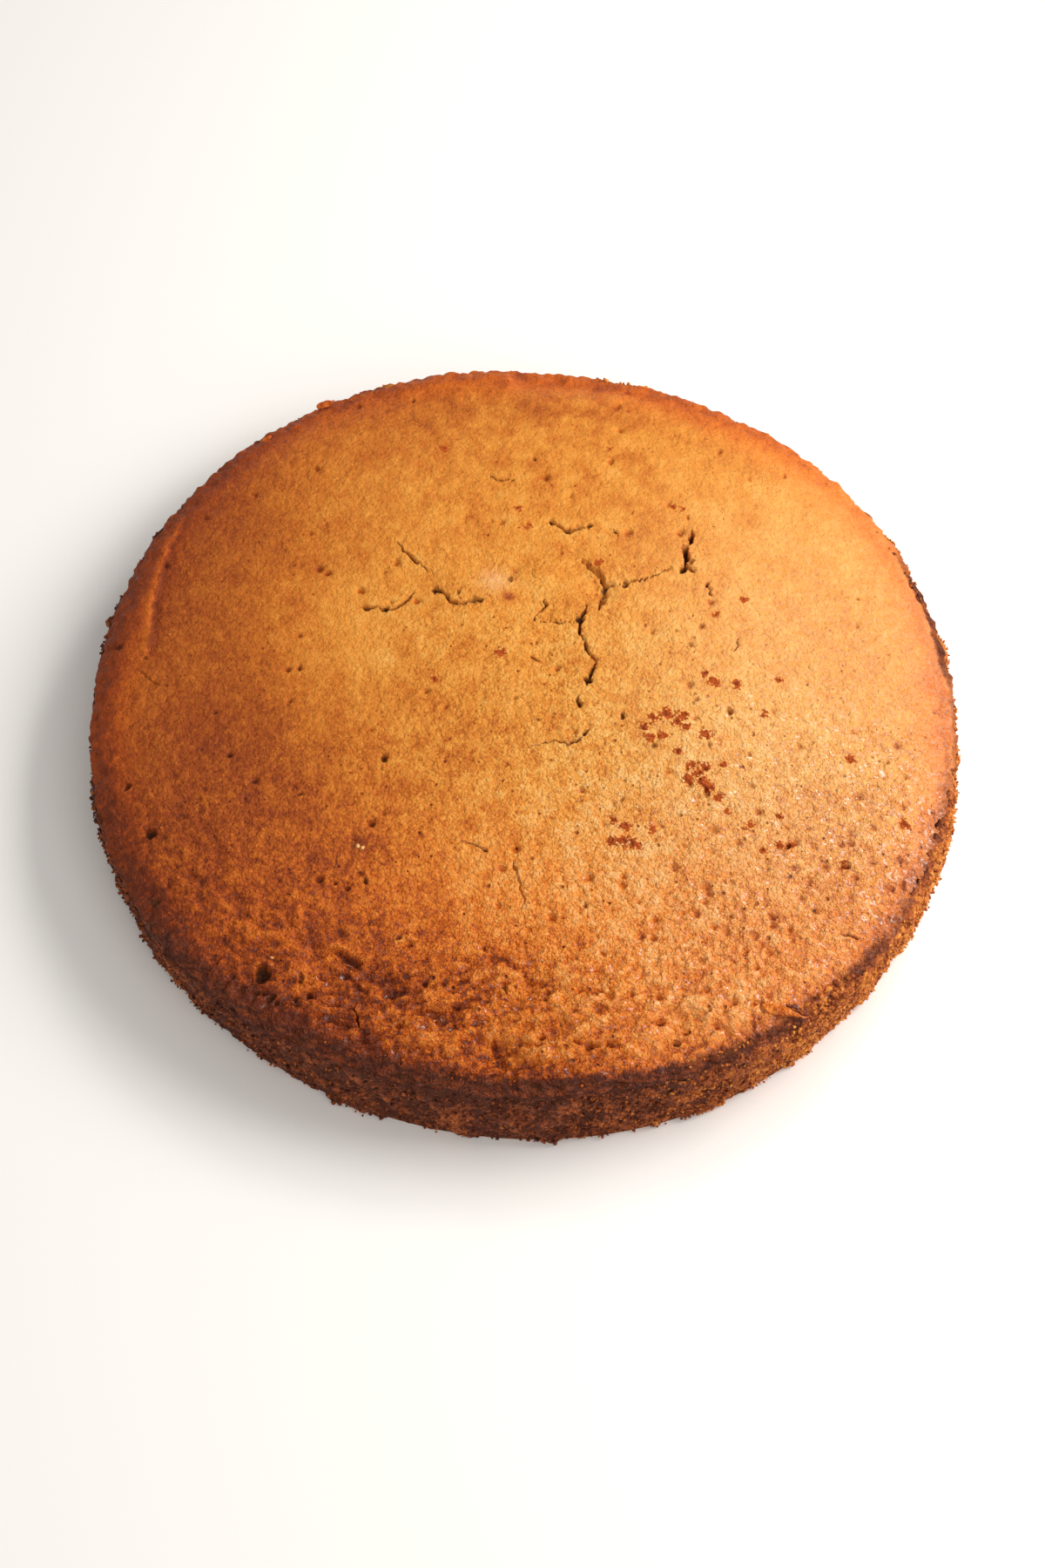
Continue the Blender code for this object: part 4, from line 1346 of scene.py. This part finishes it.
def make_wall_crumbs():
    """The crumbs as one mesh, with a tone of its own for each."""
    centres, sizes, tones = crumb_spots()
    crumbs = scatter_grains("wall_crumbs", centres, sizes, crumb_material("loose_crumb"), CRUMB_SEED).data
    store(crumbs, tone=np.repeat(tones, len(crumbs.vertices) // len(tones)))


make_wall_crumbs()

# The studio: a plain pale floor, a broad soft light high on the right like a window, a weak
# one from the front left, and a grey surround. The camera looks down at the cake from the
# front, at the angle and with the long lens of the photograph.

FLOOR_COLOUR = (0.94, 0.925, 0.90, 1.0)
FLOOR_HALF = 3.0
SURROUND_COLOUR = (0.95, 0.93, 0.90, 1.0)
SURROUND_STRENGTH = 0.44
# Lights: azimuth and elevation in degrees, distance, size, watts, colour
LIGHTS = {
    "key": (10, 42, 0.80, 0.48, 5.4, (1.0, 0.975, 0.94)),
    "glint": (48, 44, 0.80, 0.16, 1.2, (1.0, 0.975, 0.94)),
    "fill": (285, 44, 1.6, 1.2, 8.0, (1.0, 0.96, 0.92)),
}
CAMERA_ELEVATION = math.radians(57.0)
CAMERA_ROLL = math.radians(0.5)
CAMERA_DISTANCE = 0.921
CAMERA_TARGET = Vector((-0.0007, -0.0080, 0.0))
CAMERA_LENS = 80.0


def make_floor():
    """A wide plane just under the cake."""
    shape = bmesh.new()
    bmesh.ops.create_grid(shape, x_segments=1, y_segments=1, size=FLOOR_HALF)
    mesh = bpy.data.meshes.new("floor")
    shape.to_mesh(mesh)
    shape.free()
    material = bpy.data.materials.new("pale_floor")
    material.use_nodes = True
    shader = material.node_tree.nodes["Principled BSDF"]
    shader.inputs["Base Color"].default_value = FLOOR_COLOUR
    shader.inputs["Roughness"].default_value = 0.6
    mesh.materials.append(material)
    floor = bpy.data.objects.new("floor", mesh)
    bpy.context.scene.collection.objects.link(floor)


def soft_light(name, azimuth, elevation, distance, size, watts, colour):
    """A square soft light that faces the cake. Azimuth turns from +X towards +Y."""
    light = bpy.data.lights.new(name, "AREA")
    light.size = size
    light.energy = watts
    light.color = colour
    lamp = bpy.data.objects.new(name, light)
    rise = math.radians(elevation)
    lamp.location = at(distance * math.cos(rise), math.radians(azimuth), distance * math.sin(rise))
    lamp.rotation_euler = lamp.location.to_track_quat("Z", "Y").to_euler()
    bpy.context.scene.collection.objects.link(lamp)


def make_camera():
    """The camera that sees the cake as the photograph does."""
    camera = bpy.data.cameras.new("camera")
    camera.lens = CAMERA_LENS
    camera.sensor_width = 36.0
    camera.sensor_fit = "AUTO"
    camera.clip_start = 0.01
    eye = bpy.data.objects.new("camera", camera)
    back = Vector((0.0, -math.cos(CAMERA_ELEVATION), math.sin(CAMERA_ELEVATION)))
    right = Vector((1.0, 0.0, 0.0))
    up = back.cross(right)
    level = right * math.cos(CAMERA_ROLL) + up * math.sin(CAMERA_ROLL)
    top = up * math.cos(CAMERA_ROLL) - right * math.sin(CAMERA_ROLL)
    turn = Matrix((level, top, back)).transposed().to_4x4()
    eye.matrix_world = Matrix.Translation(CAMERA_TARGET + back * CAMERA_DISTANCE) @ turn
    bpy.context.scene.collection.objects.link(eye)
    bpy.context.scene.camera = eye


make_floor()
for name, values in LIGHTS.items():
    soft_light(name, *values)
world = bpy.data.worlds.new("surround")
world.use_nodes = True
surround = world.node_tree.nodes["Background"]
surround.inputs["Color"].default_value = SURROUND_COLOUR
surround.inputs["Strength"].default_value = SURROUND_STRENGTH
bpy.context.scene.world = world
bpy.context.scene.view_settings.view_transform = "Standard"
make_camera()
